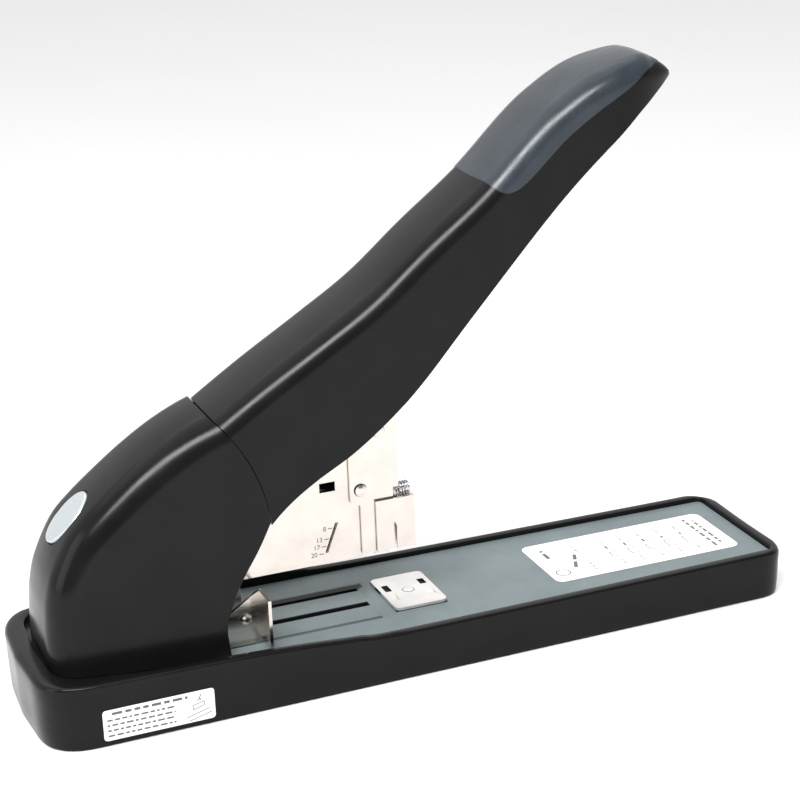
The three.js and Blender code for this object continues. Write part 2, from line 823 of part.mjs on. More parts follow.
add("drawer_front", drawerFront(), NICKEL);
add("magazine_rail", magazineRail(), STEEL);
add("pusher_rod", rodAlongX(1.5, DRAWER_REAR - 2, RAIL_FRONT, 0, ROD_HEIGHT, 16), STEEL);
add("staple_strip", stapleStrip(), STAPLE_STEEL);
add("pusher", pusher(), BLACK_PLASTIC);
const pusherSpring = coil(3, 0.4, 8, 33.6).rotateY(Math.PI / 2);
add("pusher_spring", pusherSpring.translate(-102.2, 0, ROD_HEIGHT), SPRING_STEEL);
for (const [name, side] of [
  ["drawer_spring_near", -1],
  ["drawer_spring_far", 1],
]) {
  const spring = coil(2, 0.35, 3, 4.8).rotateY(Math.PI / 2);
  add(name, spring.translate(-3.6, side * 7.2, 64), SPRING_STEEL);
}

// ---------------------------------------------------------------- driver
function driverBlock() {
  const front = DRIVER_FRONT - DRIVER_THICKNESS - GAP;
  const rear = -21.5;
  const top = ROLLER.z - ROLLER.radius - GAP;
  const body = box(rear, front, -6.9, 6.9, 92, top);
  const ear = outline([
    [-24.5, top - 6],
    [-9.5, top - 6],
    [-9.5, 114.5, 3],
    [-24.5, 114.5, 3],
  ]);
  const slot = outline([
    [-21.5, ROLLER.z - 2.7, 2.6],
    [-11.8, ROLLER.z - 2.7, 2.6],
    [-11.8, ROLLER.z + 2.7, 2.6],
    [-21.5, ROLLER.z + 2.7, 2.6],
  ]);
  const earAt = (side) => {
    const a = side * 5.5;
    const b = side * 6.9;
    return sideSlab(ear, Math.min(a, b), Math.max(a, b));
  };
  return cut(join(body, bothSides(earAt)), sideSlab(slot, -10, 10));
}

const bladeRear = DRIVER_FRONT - DRIVER_THICKNESS;
add("driver_blade", box(bladeRear, DRIVER_FRONT, -6.4, 6.4, 65, 103.5), STEEL);
add("driver_block", driverBlock(), ZINC);

// ---------------------------------------------------------------- handle
// Top and bottom edges of the handle in the plane X-Z, at rest.
const HANDLE_TOP = [
  [-88, 96],
  [-74.5, 105.4],
  [-55, 117.9],
  [-31.5, 131.8],
  [-11.3, 144.4],
  [9.1, 160.7],
  [32, 178],
  [51, 195.7],
  [61.8, 204],
  [76.8, 212.2],
  [94.2, 216.2],
  [101, 214.8],
  [107, 211.2],
  [111.3, 207],
  [112, 204.6],
];
const HANDLE_BOTTOM = [
  [-66, 55],
  [-52, 68.7],
  [-39.8, 77.2],
  [-23.7, 86],
  [-8.4, 97.1],
  [4.4, 108.6],
  [25.7, 131.5],
  [60.7, 168],
  [88.1, 191.6],
  [99.1, 199.4],
  [107.4, 204.2],
  [112, 204.6],
];

// The handle is widest at the cover, and narrows and rounds off at its tip.
function handleShare(along, depth) {
  const tip = THREE.MathUtils.clamp((along - 0.85) / 0.15, 0, 1);
  const draft = 0.0012 * depth * (1 - along);
  return (1.03 + draft - 0.07 * along) * (1 - 0.65 * tip ** 2);
}

const handleForm = {
  top: planeCurve(HANDLE_TOP),
  bottom: planeCurve(HANDLE_BOTTOM),
  half: HANDLE_HALF_WIDTH,
  round: 10,
  steps: 30,
  share: handleShare,
};

const lipCylinder = (radius, halfWidth) =>
  rodAlongY(radius, -halfWidth, halfWidth, HANDLE_PIVOT.x, HANDLE_PIVOT.z, 72);

const padRegion = () =>
  sideSlab(
    curvedOutline(
      [
        [26, 190],
        [30.5, 178.5],
        [34, 175.9],
        [39.8, 174.9],
        [45.8, 176.1],
        [55, 183.4],
        [69.3, 194.7],
        [90.7, 207],
        [97, 209],
        [109.7, 210.8],
        [116, 213],
      ],
      [
        [116, 240],
        [26, 240],
      ],
    ),
    -40,
    40,
    4,
  );

function handleShell() {
  const padSeat = cut(padRegion(), carriedBody(handleForm, PAD_THICKNESS + GAP, 20));
  const whole = cut(carriedBody(handleForm), carriedBody(handleForm, SHELL, 20), padSeat);
  return cut(whole, lipCylinder(LIP_RADIUS + 0.5, 50));
}

function gripPad() {
  const region = padRegion().translate(GAP * 0.6, 0, GAP);
  return cut(carriedBody(handleForm), carriedBody(handleForm, PAD_THICKNESS, 20)).intersect(region);
}

const LEVER_WALL = 1.5;

function handleLever() {
  const cheek = outline([
    [-119, 51, 6],
    [-60, 72, 30],
    [-20, 98, 30],
    [14, 127, 3],
    [6, 136, 3],
    [-18, 133, 6],
    [-62, 107.5, 20],
    [-126, 67, 6],
    [-132.6, 60, 5],
    [-128, 50.5, 6],
  ]);
  const plate = (corners, side, inner, thickness) => {
    const a = side * inner;
    const b = side * (inner + thickness);
    return sideSlab(outline(corners), Math.min(a, b), Math.max(a, b));
  };
  const cheeks = bothSides((side) => {
    const a = side * (LEVER_HALF_WIDTH - LEVER_WALL);
    const b = side * LEVER_HALF_WIDTH;
    return sideSlab(cheek, Math.min(a, b), Math.max(a, b));
  });
  const hangerOutline = [
    [-22, 131],
    [-22, ROLLER.z - 1, 4],
    [-18, ROLLER.z - 3.6, 2],
    [-14, ROLLER.z - 1, 4],
    [-14, 131],
  ];
  const hangers = bothSides((side) => plate(hangerOutline, side, 3.1, 1.2));
  const webHalf = LEVER_HALF_WIDTH - 0.5;
  const frontWeb = box(-22, -5, -webHalf, webHalf, 129.6, 131);
  const rearWeb = sideSlab(
    outline([
      [-62, 106],
      [-46, 115.3],
      [-46, 113.6],
      [-62, 104.3],
    ]),
    -webHalf,
    webHalf,
  );
  const pivotBore = rodAlongY(AXLE_RADIUS + 0.05, -20, 20, HANDLE_PIVOT.x, HANDLE_PIVOT.z, 28);
  const pinBore = rodAlongY(2.05, -10, 10, ROLLER.x, ROLLER.z, 20);
  return cut(join(cheeks, hangers, frontWeb, rearWeb), pivotBore, pinBore);
}

function driveRoller() {
  const body = rodAlongY(ROLLER.radius, -2.8, 2.8, ROLLER.x, ROLLER.z, 28);
  return cut(body, rodAlongY(2.05, -6, 6, ROLLER.x, ROLLER.z, 20));
}

add("handle_shell", handleShell(), BLACK_PLASTIC);
add("grip_pad", gripPad(), GRIP_RUBBER);
add("handle_lever", handleLever(), STEEL);
add("drive_roller", driveRoller(), STEEL);
add("roller_pin", rodAlongY(2, -7.1, 7.1, ROLLER.x, ROLLER.z, 20), STEEL);

// ---------------------------------------------------------------- rear cover and release button
const COVER_BACK = [
  [-141.6, 10],
  [-141.2, 30],
  [-140.6, 40],
  [-139.6, 48],
  [-137, 57],
  [-130.6, 69.2],
  [-123, 77.2],
  [-109.8, 87.8],
  [-99.8, 94.9],
  [-89.6, 101],
  [-78, 106.2],
  [-60, 112],
];

// Inner ends of the cross-sections, all in front of the cover's front edge.
const COVER_CORE = [
  [-75, 10],
  [-70, 30],
  [-55, 50],
  [-40, 60],
];

const coverForm = {
  top: planeCurve(COVER_BACK),
  bottom: planeCurve(COVER_CORE),
  half: COVER_HALF_WIDTH,
  round: 13,
  steps: 22,
  share: () => 1,
};

// Front edge of the cover below the handle, and everything in front of it.
function coverFrontCut() {
  return sideSlab(
    curvedOutline(
      [
        [-78.6, 12],
        [-77.7, 20],
        [-76.3, 29.5],
        [-74.2, 37.2],
        [-68.7, 47.1],
        [-61.2, 58.7],
        [-50, 80],
      ],
      [
        [0, 80],
        [0, 12],
      ],
    ),
    -50,
    50,
    4,
  );
}

// Widens the cover towards its foot.
function drafted(solid) {
  return solid.warp((point) => {
    point[1] *= (24.4 - 0.048 * point[2]) / COVER_HALF_WIDTH;
  });
}

function ovalPost(halfLong, halfShort, low, high) {
  const shape = new THREE.Shape();
  shape.absellipse(0, 0, halfLong, halfShort, 0, 2 * Math.PI, false, 0);
  return new THREE.ExtrudeGeometry(shape, {
    depth: high - low,
    bevelEnabled: false,
    curveSegments: 14,
  }).translate(0, 0, low);
}

const FRONT_SLOT_HALF_WIDTH = 14.6;

// From the button's own frame, with +Z out of the cover, to its place.
function atButton(geometry) {
  return geometry.rotateY(THREE.MathUtils.degToRad(BUTTON.tilt)).translate(BUTTON.x, 0, BUTTON.z);
}

function rearCover() {
  const skin = cut(carriedBody(coverForm), carriedBody(coverForm, SHELL, 10));
  const block = carriedBody(coverForm);
  const underLip = cut(
    block.intersect(lipCylinder(LIP_RADIUS - 0.5, 60)),
    lipCylinder(LIP_RADIUS - 2.5, 60),
  );
  const frontFace = block
    .intersect(lipCylinder(LIP_RADIUS - 0.5, 60))
    .intersect(coverFrontCut().translate(-2, 0, 0));
  const throughSlot = box(-100, 0, -FRONT_SLOT_HALF_WIDTH, FRONT_SLOT_HALF_WIDTH, 0, 104);
  const shell = cut(
    join(
      drafted(skin.intersect(lipCylinder(LIP_RADIUS, 60))),
      cut(drafted(join(underLip, frontFace)), throughSlot),
    ),
    coverFrontCut(),
  );
  const hole = toSolid(atButton(ovalPost(BUTTON.long + 0.35, BUTTON.short + 0.35, -8, 12)));
  return cut(shell.intersect(aboveDeck(GAP)), hole);
}

function releaseButton() {
  const shape = new THREE.Shape();
  shape.absellipse(0, 0, BUTTON.long, BUTTON.short, 0, 2 * Math.PI, false, 0);
  const cap = new THREE.ExtrudeGeometry(shape, {
    depth: 3.2,
    bevelEnabled: true,
    bevelThickness: 1,
    bevelSize: 3,
    bevelOffset: -3,
    bevelSegments: 3,
    curveSegments: 14,
  }).translate(0, 0, -2.9);
  const stem = rod(2, 13, 16).rotateX(Math.PI / 2).translate(0, 0, -7.5);
  const topOnly = new THREE.BoxGeometry(40, 40, 20).translate(0, 0, 8.4);
  const solid = join(toSolid(cap).intersect(toSolid(topOnly)), toSolid(stem));
  return atButton(toGeometry(solid));
}

// Carrier on the handle's axle: the button's stem slides in it and its spring stands on it.
function buttonSeat() {
  const bar = new THREE.BoxGeometry(16, 10, 1.6).translate(3.4, 0, -11.2);
  const stemHole = rod(2.4, 20, 16).rotateX(Math.PI / 2).translate(0, 0, -11);
  const ring = rodAlongY(5.4, -5, 5, HANDLE_PIVOT.x, HANDLE_PIVOT.z, 24);
  const bore = rodAlongY(AXLE_RADIUS + 0.05, -9, 9, HANDLE_PIVOT.x, HANDLE_PIVOT.z, 32);
  return cut(join(toSolid(atButton(bar)), ring), bore, toSolid(atButton(stemHole)));
}

add("rear_cover", rearCover(), BLACK_PLASTIC);
add("release_button", releaseButton(), SILVER_PLASTIC);
add("button_seat", buttonSeat(), ZINC);
add("button_spring", atButton(coil(3.2, 0.35, 4, 7.4).translate(0, 0, -10.3)), SPRING_STEEL);

// ---------------------------------------------------------------- labels
function specLabel() {
  const shape = outline([
    [57.3, -18, 3],
    [137, -18, 3],
    [137, 18, 3],
    [57.3, 18, 3],
  ]);
  return flatSlab(shape, PANEL_TOP + 0.05, PANEL_TOP + 0.3);
}

function sideLabel() {
  const shape = outline([
    [-20.5, -5.9, 1.5],
    [20.5, -5.9, 1.5],
    [20.5, 5.9, 1.5],
    [-20.5, 5.9, 1.5],
  ]);
  const wallAngle = Math.atan2(
    BASE_HALF_WIDTH_REAR - BASE_HALF_WIDTH_FRONT,
    2 * BASE_HALF_LENGTH,
  );
  const middle = { x: -107.8, z: 8 };
  const wallY = -THREE.MathUtils.mapLinear(
    middle.x,
    -BASE_HALF_LENGTH + 2,
    BASE_HALF_LENGTH,
    BASE_HALF_WIDTH_REAR,
    BASE_HALF_WIDTH_FRONT,
  );
  const geometry = extrude(shape, 0.25, 4).rotateX(Math.PI / 2).rotateZ(wallAngle);
  return geometry.translate(middle.x, wallY - 0.1, middle.z);
}

add("spec_label", specLabel(), LABEL_PAPER);
add("side_label", sideLabel(), LABEL_PAPER);

export default stapler;
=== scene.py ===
"""Looks of a heavy-duty desk stapler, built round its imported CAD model.

Sizes are in millimetres unless noted. Shapes are worked out from the underside of the base, as the CAD is,
and raised by the height of the feet.
"""

import math

import bmesh
import bpy
import numpy as np
from mathutils import Matrix, Vector


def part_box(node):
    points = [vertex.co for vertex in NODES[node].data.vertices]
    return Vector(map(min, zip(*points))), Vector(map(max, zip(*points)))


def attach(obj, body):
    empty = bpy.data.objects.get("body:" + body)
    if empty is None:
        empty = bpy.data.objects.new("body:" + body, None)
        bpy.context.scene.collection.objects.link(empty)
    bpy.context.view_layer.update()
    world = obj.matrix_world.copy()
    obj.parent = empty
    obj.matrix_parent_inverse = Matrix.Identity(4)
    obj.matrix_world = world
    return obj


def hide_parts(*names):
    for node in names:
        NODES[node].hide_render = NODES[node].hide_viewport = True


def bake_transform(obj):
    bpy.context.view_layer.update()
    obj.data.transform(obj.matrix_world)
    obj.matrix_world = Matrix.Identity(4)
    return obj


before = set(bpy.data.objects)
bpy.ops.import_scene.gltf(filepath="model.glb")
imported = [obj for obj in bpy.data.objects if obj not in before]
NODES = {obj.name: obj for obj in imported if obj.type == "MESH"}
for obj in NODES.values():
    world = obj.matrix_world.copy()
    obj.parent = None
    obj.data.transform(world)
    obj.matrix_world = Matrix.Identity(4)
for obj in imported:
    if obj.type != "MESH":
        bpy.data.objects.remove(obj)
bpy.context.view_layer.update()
MM = 0.001


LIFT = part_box("base_tray")[0][2] / MM  # height of the feet


def box_mm(node):
    """Lowest and highest corner of a CAD node, in millimetres above the underside of the base."""
    low, high = (np.array(corner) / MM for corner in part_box(node))
    low[2] -= LIFT
    high[2] -= LIFT
    return low, high


# ---------------- driving dimensions
PIVOT_HANDLE = np.array([-126.0, 58.8])  # X and Z
LIP_RADIUS = 69.0  # edge of the cover, round the handle's pivot
GAP = 0.3
SHELL = 2.5  # wall of the handle and the cover
TRAY_WALL = 1.2
COVER_HALF_WIDTH = 21.5
HANDLE_HALF_WIDTH = 19.0
HALF_LENGTH = 150.0
HALF_WIDTH_REAR = 37.7
HALF_WIDTH_FRONT = 33.2
REAR_CORNER = 18  # radius in plan
FRONT_CORNER = 12  # radius in plan
RIM_FRONT = 18.7
RECESS_FLOOR = 11.8  # floor of the tray under the panel
PANEL_REAR = box_mm("base_panel")[0][0]
PANEL_TOP = box_mm("base_panel")[1][2]
PANEL_FRONT = box_mm("base_panel")[1][0]

HANDLE_TOP = [
    (-88, 96), (-74.5, 105.4), (-55, 117.9), (-31.5, 131.8), (-11.3, 144.4), (9.1, 160.7), (32, 178),
    (51, 195.7), (61.8, 204), (76.8, 212.2), (94.2, 216.2), (101, 214.8), (106.6, 211.4), (110, 208.2),
    (110.6, 206.2),
]  # fmt: skip
HANDLE_BOTTOM = [
    (-66, 55), (-52, 68.7), (-39.8, 77.2), (-23.7, 86), (-8.4, 97.1), (4.4, 108.6), (25.7, 131.5),
    (60.7, 168), (88.1, 191.6), (99.1, 199.4), (106.5, 203.8), (110.6, 206.2),
]  # fmt: skip
COVER_BACK = [
    (-141.6, 10), (-141.2, 30), (-140.6, 40), (-139.6, 48), (-137, 57), (-130.6, 69.2), (-123, 77.2),
    (-109.8, 87.8), (-99.8, 94.9), (-89.6, 101), (-78, 106.2), (-60, 112),
]  # fmt: skip
COVER_CORE = [(-75, 10), (-70, 30), (-55, 50), (-40, 60)]
COVER_FRONT = [
    (-78.6, 12), (-77.7, 20), (-76.3, 29.5), (-74.2, 37.2), (-68.7, 47.1), (-61.2, 58.7), (-50, 80),
]  # fmt: skip
DECK = [(-79.7, 16.6), (-98, 17.7), (-118, 19.7), (-143, 21.9)]
RIM = [(-151, 24.5), (-115, 23.8), (-80, 23), (-55, 21.8), (-30, 19.9), (-5, RIM_FRONT), (151, RIM_FRONT)]


# ---------------- curves
class Curve:
    """A smooth curve through points in the plane, followed by its length from 0 to 1."""

    def __init__(self, points, steps=24):
        points = np.array(points, float)
        padded = np.vstack([points[:1], points, points[-1:]])
        samples = []
        for i in range(len(points) - 1):
            a, b, c, d = padded[i : i + 4]
            for t in np.linspace(0, 1, steps, endpoint=False):
                v0, v1 = (c - a) / 2, (d - b) / 2
                samples.append(
                    (2 * b - 2 * c + v0 + v1) * t**3 + (3 * c - 3 * b - 2 * v0 - v1) * t**2 + v0 * t + b
                )
        samples.append(points[-1])
        self.samples = np.array(samples)
        lengths = np.linalg.norm(np.diff(self.samples, axis=0), axis=1)
        self.along = np.concatenate([[0], np.cumsum(lengths)])
        self.length = self.along[-1]

    def at(self, t):
        reach = t * self.length
        return np.array([np.interp(reach, self.along, self.samples[:, axis]) for axis in (0, 1)])

    def height_at(self, x):
        order = np.argsort(self.samples[:, 0])
        return np.interp(x, self.samples[order, 0], self.samples[order, 1])

    def x_at(self, height):
        return np.interp(height, self.samples[:, 1], self.samples[:, 0])


deck_curve = Curve(DECK)
rim_curve = Curve(RIM)
cover_front = Curve(COVER_FRONT)


def smoothstep(low, high, value):
    t = min(1.0, max(0.0, (value - low) / (high - low)))
    return t * t * (3 - 2 * t)


def bisect(test, low, high, steps=30):
    """The value between low and high where test changes from False to True."""
    for _ in range(steps):
        middle = (low + high) / 2
        if test(middle):
            high = middle
        else:
            low = middle
    return (low + high) / 2


# ---------------- mesh helpers
BOX_FACES = ((3, 2, 1, 0), (4, 5, 6, 7), (0, 1, 5, 4), (1, 2, 6, 5), (2, 3, 7, 6), (3, 0, 4, 7))


def add_to_scene(name, data):
    obj = bpy.data.objects.new(name, data)
    bpy.context.collection.objects.link(obj)
    return obj


def new_object(name, mesh, material, body, replaces=()):
    mesh.materials.append(material)
    obj = add_to_scene(name, mesh)
    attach(obj, body)
    if replaces:
        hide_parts(*replaces)
    return obj


def mesh_from(name, points, faces, smooth=True):
    """Points are in millimetres above the underside of the base."""
    mesh = bpy.data.meshes.new(name)
    raised = [(x * MM, y * MM, (z + LIFT) * MM) for x, y, z in points]
    mesh.from_pydata(raised, [], faces)
    tidy = bmesh.new()
    tidy.from_mesh(mesh)
    bmesh.ops.remove_doubles(tidy, verts=tidy.verts, dist=1e-6)
    bmesh.ops.dissolve_degenerate(tidy, edges=tidy.edges, dist=1e-6)
    bmesh.ops.recalc_face_normals(tidy, faces=tidy.faces)
    tidy.to_mesh(mesh)
    tidy.free()
    mesh.polygons.foreach_set("use_smooth", [smooth] * len(mesh.polygons))
    mesh.update()
    return mesh


def grid_faces(rows, columns, start=0, closed=False, flip=False):
    faces = []
    for i in range(rows - 1):
        for j in range(columns if closed else columns - 1):
            k = (j + 1) % columns
            a, b = start + i * columns + j, start + i * columns + k
            c, d = start + (i + 1) * columns + k, start + (i + 1) * columns + j
            faces.append((d, c, b, a) if flip else (a, b, c, d))
    return faces


def two_skins(outer, inner):
    """A closed sheet between two grids of points with the same rows and columns."""
    rows, columns = outer.shape[:2]
    points = np.concatenate([outer.reshape(-1, 3), inner.reshape(-1, 3)])
    far = rows * columns
    faces = grid_faces(rows, columns) + grid_faces(rows, columns, far, flip=True)
    ring = list(range(columns))
    ring += [i * columns + columns - 1 for i in range(1, rows)]
    ring += [(rows - 1) * columns + j for j in range(columns - 2, -1, -1)]
    ring += [i * columns for i in range(rows - 2, 0, -1)]
    for a, b in zip(ring, ring[1:] + ring[:1]):
        faces.append((b, a, a + far, b + far))
    return points, faces


def bevel(obj, width, segments=2, angle=40):
    modifier = obj.modifiers.new("edges", "BEVEL")
    modifier.width = width * MM
    modifier.segments = segments
    modifier.limit_method = "ANGLE"
    modifier.angle_limit = math.radians(angle)
    modifier.harden_normals = True


def soften_by_angle(obj, angle=35):
    """Smooth shading that stays sharp where faces meet at more than the angle."""
    mesh = obj.data
    shape = bmesh.new()
    shape.from_mesh(mesh)
    limit = math.radians(angle)
    sharp = [len(edge.link_faces) != 2 or edge.calc_face_angle(0) > limit for edge in shape.edges]
    shape.free()
    attribute = mesh.attributes.get("sharp_edge") or mesh.attributes.new("sharp_edge", "BOOLEAN", "EDGE")
    attribute.data.foreach_set("value", sharp)
    mesh.polygons.foreach_set("use_smooth", [True] * len(mesh.polygons))


def boxes_mesh(name, boxes):
    """One mesh of closed boxes, each (low corner, high corner)."""
    points = []
    faces = []
    for low, high in boxes:
        start = len(points)
        for z in (low[2], high[2]):
            points += [(low[0], low[1], z), (high[0], low[1], z), (high[0], high[1], z), (low[0], high[1], z)]
        faces += [[start + i for i in face] for face in BOX_FACES]
    return mesh_from(name, points, faces, smooth=False)


def tube_along(points, radius, sides=12):
    """Points and faces of a round wire along a path."""
    path = np.array(points, float)
    tangents = np.gradient(path, axis=0)
    tangents /= np.linalg.norm(tangents, axis=1)[:, None]
    normal = np.cross(tangents[0], [0.3, 0.5, 0.81])
    normal /= np.linalg.norm(normal)
    rings = []
    for centre, tangent in zip(path, tangents):
        normal -= tangent * normal.dot(tangent)
        normal /= np.linalg.norm(normal)
        side = np.cross(tangent, normal)
        turn = np.linspace(0, 2 * np.pi, sides, endpoint=False)
        rings.append(centre + radius * (np.cos(turn)[:, None] * normal + np.sin(turn)[:, None] * side))
    count = len(rings)
    faces = grid_faces(count, sides, closed=True)
    faces.append(list(range(sides))[::-1])
    faces.append([(count - 1) * sides + i for i in range(sides)])
    return np.concatenate(rings), faces


# ---------------- materials
NOISE_LOW, NOISE_HIGH = 0.3, 0.7  # most of a noise texture lies between these


class Paint:
    """A material whose colour, roughness and relief are varied by noise in the object's own space."""

    def __init__(self, name, colour, roughness, metallic=0.0, specular=0.5):
        self.material = bpy.data.materials.new(name)
        self.material.use_nodes = True
        self.tree = self.material.node_tree
        self.shader = self.tree.nodes["Principled BSDF"]
        self.shader.inputs["Metallic"].default_value = metallic
        self.shader.inputs["Specular IOR Level"].default_value = specular
        self.shader.inputs["Roughness"].default_value = roughness
        self.shader.inputs["Base Color"].default_value = (*colour, 1)
        self.colour = colour
        self.space = self.tree.nodes.new("ShaderNodeTexCoord")
        self.relief = None

    def noise(self, size, detail=3.0, stretch=(1, 1, 1)):
        """Noise with features of about that size in millimetres, drawn out along the stretched axes."""
        mapping = self.tree.nodes.new("ShaderNodeMapping")
        mapping.inputs["Scale"].default_value = [1 / (MM * size * s) for s in stretch]
        texture = self.tree.nodes.new("ShaderNodeTexNoise")
        texture.inputs["Scale"].default_value = 1.0
        texture.inputs["Detail"].default_value = detail
        self.tree.links.new(self.space.outputs["Object"], mapping.inputs["Vector"])
        self.tree.links.new(mapping.outputs["Vector"], texture.inputs["Vector"])
        return texture.outputs["Fac"]

    def vary_colour(self, value, amount):
        low = tuple(c * (1 - amount) for c in self.colour)
        high = tuple(min(1, c * (1 + amount)) for c in self.colour)
        ramp = self.tree.nodes.new("ShaderNodeValToRGB")
        for element, place, colour in zip(ramp.color_ramp.elements, (NOISE_LOW, NOISE_HIGH), (low, high)):
            element.position = place
            element.color = (*colour, 1)
        self.tree.links.new(value, ramp.inputs["Fac"])
        self.tree.links.new(ramp.outputs["Color"], self.shader.inputs["Base Color"])

    def calculate(self, operation, first, second):
        """The output of a maths node on a socket and either a number or another socket."""
        node = self.tree.nodes.new("ShaderNodeMath")
        node.operation = operation
        self.tree.links.new(first, node.inputs[0])
        if isinstance(second, float):
            node.inputs[1].default_value = second
        else:
            self.tree.links.new(second, node.inputs[1])
        return node.outputs["Value"]

    def paint_shade(self, *regions):
        """Paint shade: turn the colour black inside boxes (low corner, high corner), in millimetres from the
        floor.
        """
        split = self.tree.nodes.new("ShaderNodeSeparateXYZ")
        self.tree.links.new(self.space.outputs["Object"], split.inputs["Vector"])
        inside = None
        for low, high in regions:
            within = None
            for axis in range(3):
                for operation, limit in (("GREATER_THAN", low[axis]), ("LESS_THAN", high[axis])):
                    test = self.calculate(operation, split.outputs[axis], limit * MM)
                    within = self.calculate("MULTIPLY", within, test) if within else test
            inside = self.calculate("MAXIMUM", inside, within) if inside else within
        mix = self.tree.nodes.new("ShaderNodeMix")
        mix.data_type = "RGBA"
        painted = self.shader.inputs["Base Color"].links[0].from_socket
        self.tree.links.new(inside, mix.inputs["Factor"])
        self.tree.links.new(painted, mix.inputs["A"])
        # near-black colour of the painted shade
        mix.inputs["B"].default_value = (0.004, 0.004, 0.004, 1)
        self.tree.links.new(mix.outputs["Result"], self.shader.inputs["Base Color"])

    def vary_roughness(self, value, low, high):
        spread = self.tree.nodes.new("ShaderNodeMapRange")
        spread.inputs["From Min"].default_value = NOISE_LOW
        spread.inputs["From Max"].default_value = NOISE_HIGH
        spread.inputs["To Min"].default_value = low
        spread.inputs["To Max"].default_value = high
        self.tree.links.new(value, spread.inputs["Value"])
        self.tree.links.new(spread.outputs["Result"], self.shader.inputs["Roughness"])

    def add_relief(self, value, strength, depth):
        """Relief of the given depth in millimetres."""
        bump = self.tree.nodes.new("ShaderNodeBump")
        bump.inputs["Strength"].default_value = strength
        bump.inputs["Distance"].default_value = depth * MM
        self.tree.links.new(value, bump.inputs["Height"])
        if self.relief:
            self.tree.links.new(self.relief, bump.inputs["Normal"])
        self.relief = bump.outputs["Normal"]
        self.tree.links.new(self.relief, self.shader.inputs["Normal"])


def black_plastic():
    paint = Paint("black_satin_plastic", (0.0055, 0.0056, 0.0058), 0.21, specular=0.15)
    paint.vary_colour(paint.noise(18, 4), 0.16)
    paint.vary_roughness(paint.noise(7, 5), 0.18, 0.23)
    paint.add_relief(paint.noise(0.45, 2), 0.10, 0.03)
    return paint.material


def slate_plastic():
    """Slate paint on the upper faces; the walls of the slots and the far step are painted black as shade."""
    paint = Paint("slate_plastic", (0.120, 0.150, 0.156), 0.42, specular=0.42)
    paint.vary_colour(paint.noise(22, 4), 0.10)
    top = PANEL_TOP + LIFT
    # Painted shade: the slot walls below the pocket floor and the pocket's far step are painted black.
    slot_wall_shade = ((-200, -9, 0), (200, 25, top - 1.1 - 0.25))
    far_step_shade = ((-200, 13.4, 0), (-5, 17.5, top - 0.2))
    paint.paint_shade(slot_wall_shade, far_step_shade)
    paint.vary_roughness(paint.noise(5, 4), 0.36, 0.48)
    paint.add_relief(paint.noise(0.5, 3), 0.25, 0.04)
    return paint.material


def grip_rubber():
    paint = Paint("grip_rubber", (0.024, 0.030, 0.037), 0.26, specular=0.30)
    paint.vary_colour(paint.noise(14, 4), 0.14)
    paint.vary_roughness(paint.noise(3, 4), 0.22, 0.30)
    paint.add_relief(paint.noise(0.6, 3), 0.20, 0.04)
    return paint.material


def foot_rubber():
    paint = Paint("foot_rubber", (0.02, 0.02, 0.02), 0.85, specular=0.3)
    paint.vary_colour(paint.noise(3, 4), 0.3)
    paint.vary_roughness(paint.noise(2, 4), 0.75, 0.95)
    paint.add_relief(paint.noise(0.5, 3), 0.4, 0.06)
    return paint.material


def metal(name, colour, rough, grain=(12, 1, 1), relief=0.06):
    paint = Paint(name, colour, rough, metallic=1.0)
    paint.vary_colour(paint.noise(9, 4), 0.06)
    paint.vary_roughness(paint.noise(0.7, 3, grain), rough * 0.75, rough * 1.35)
    paint.add_relief(paint.noise(0.35, 2, grain), relief, 0.02)
    return paint.material


def anvil_nickel():
    """Satin plate; the far side of its troughs is painted black as shade."""
    paint = Paint("satin_nickel", (0.74, 0.715, 0.70), 0.45, metallic=0.9)
    paint.vary_colour(paint.noise(9, 4), 0.06)
    top = box_mm("anvil_plate")[1][2] + LIFT
    # Painted shade on the far side of the troughs.
    paint.paint_shade(((-100, 2.0, 0), (100, 8.0, top - 0.12)))
    paint.vary_roughness(paint.noise(0.7, 3, (3, 1, 1)), 0.4, 0.6)
    paint.add_relief(paint.noise(0.35, 2), 0.1, 0.02)
    return paint.material


def silver_lacquer():
    paint = Paint("silver_lacquer", (0.50, 0.54, 0.56), 0.3, metallic=0.75)
    paint.shader.inputs["Coat Weight"].default_value = 0.6
    paint.shader.inputs["Coat Roughness"].default_value = 0.12
    paint.vary_colour(paint.noise(0.25, 2), 0.04)
    paint.vary_roughness(paint.noise(4, 3), 0.24, 0.34)
    paint.add_relief(paint.noise(0.6, 2), 0.03, 0.01)
    return paint.material


def label_film():
    paint = Paint("label_film", (0.80, 0.80, 0.79), 0.34)
    paint.shader.inputs["Coat Weight"].default_value = 0.3
    paint.shader.inputs["Coat Roughness"].default_value = 0.2
    paint.vary_colour(paint.noise(10, 3), 0.03)
    paint.vary_roughness(paint.noise(6, 3), 0.30, 0.40)
    paint.add_relief(paint.noise(2.5, 3), 0.12, 0.02)
    return paint.material


def printed_ink(name, colour):
    paint = Paint(name, colour, 0.5)
    paint.vary_colour(paint.noise(0.3, 3), 0.35)
    paint.vary_roughness(paint.noise(1, 3), 0.42, 0.58)
    paint.add_relief(paint.noise(0.3, 2), 0.1, 0.01)
    return paint.material


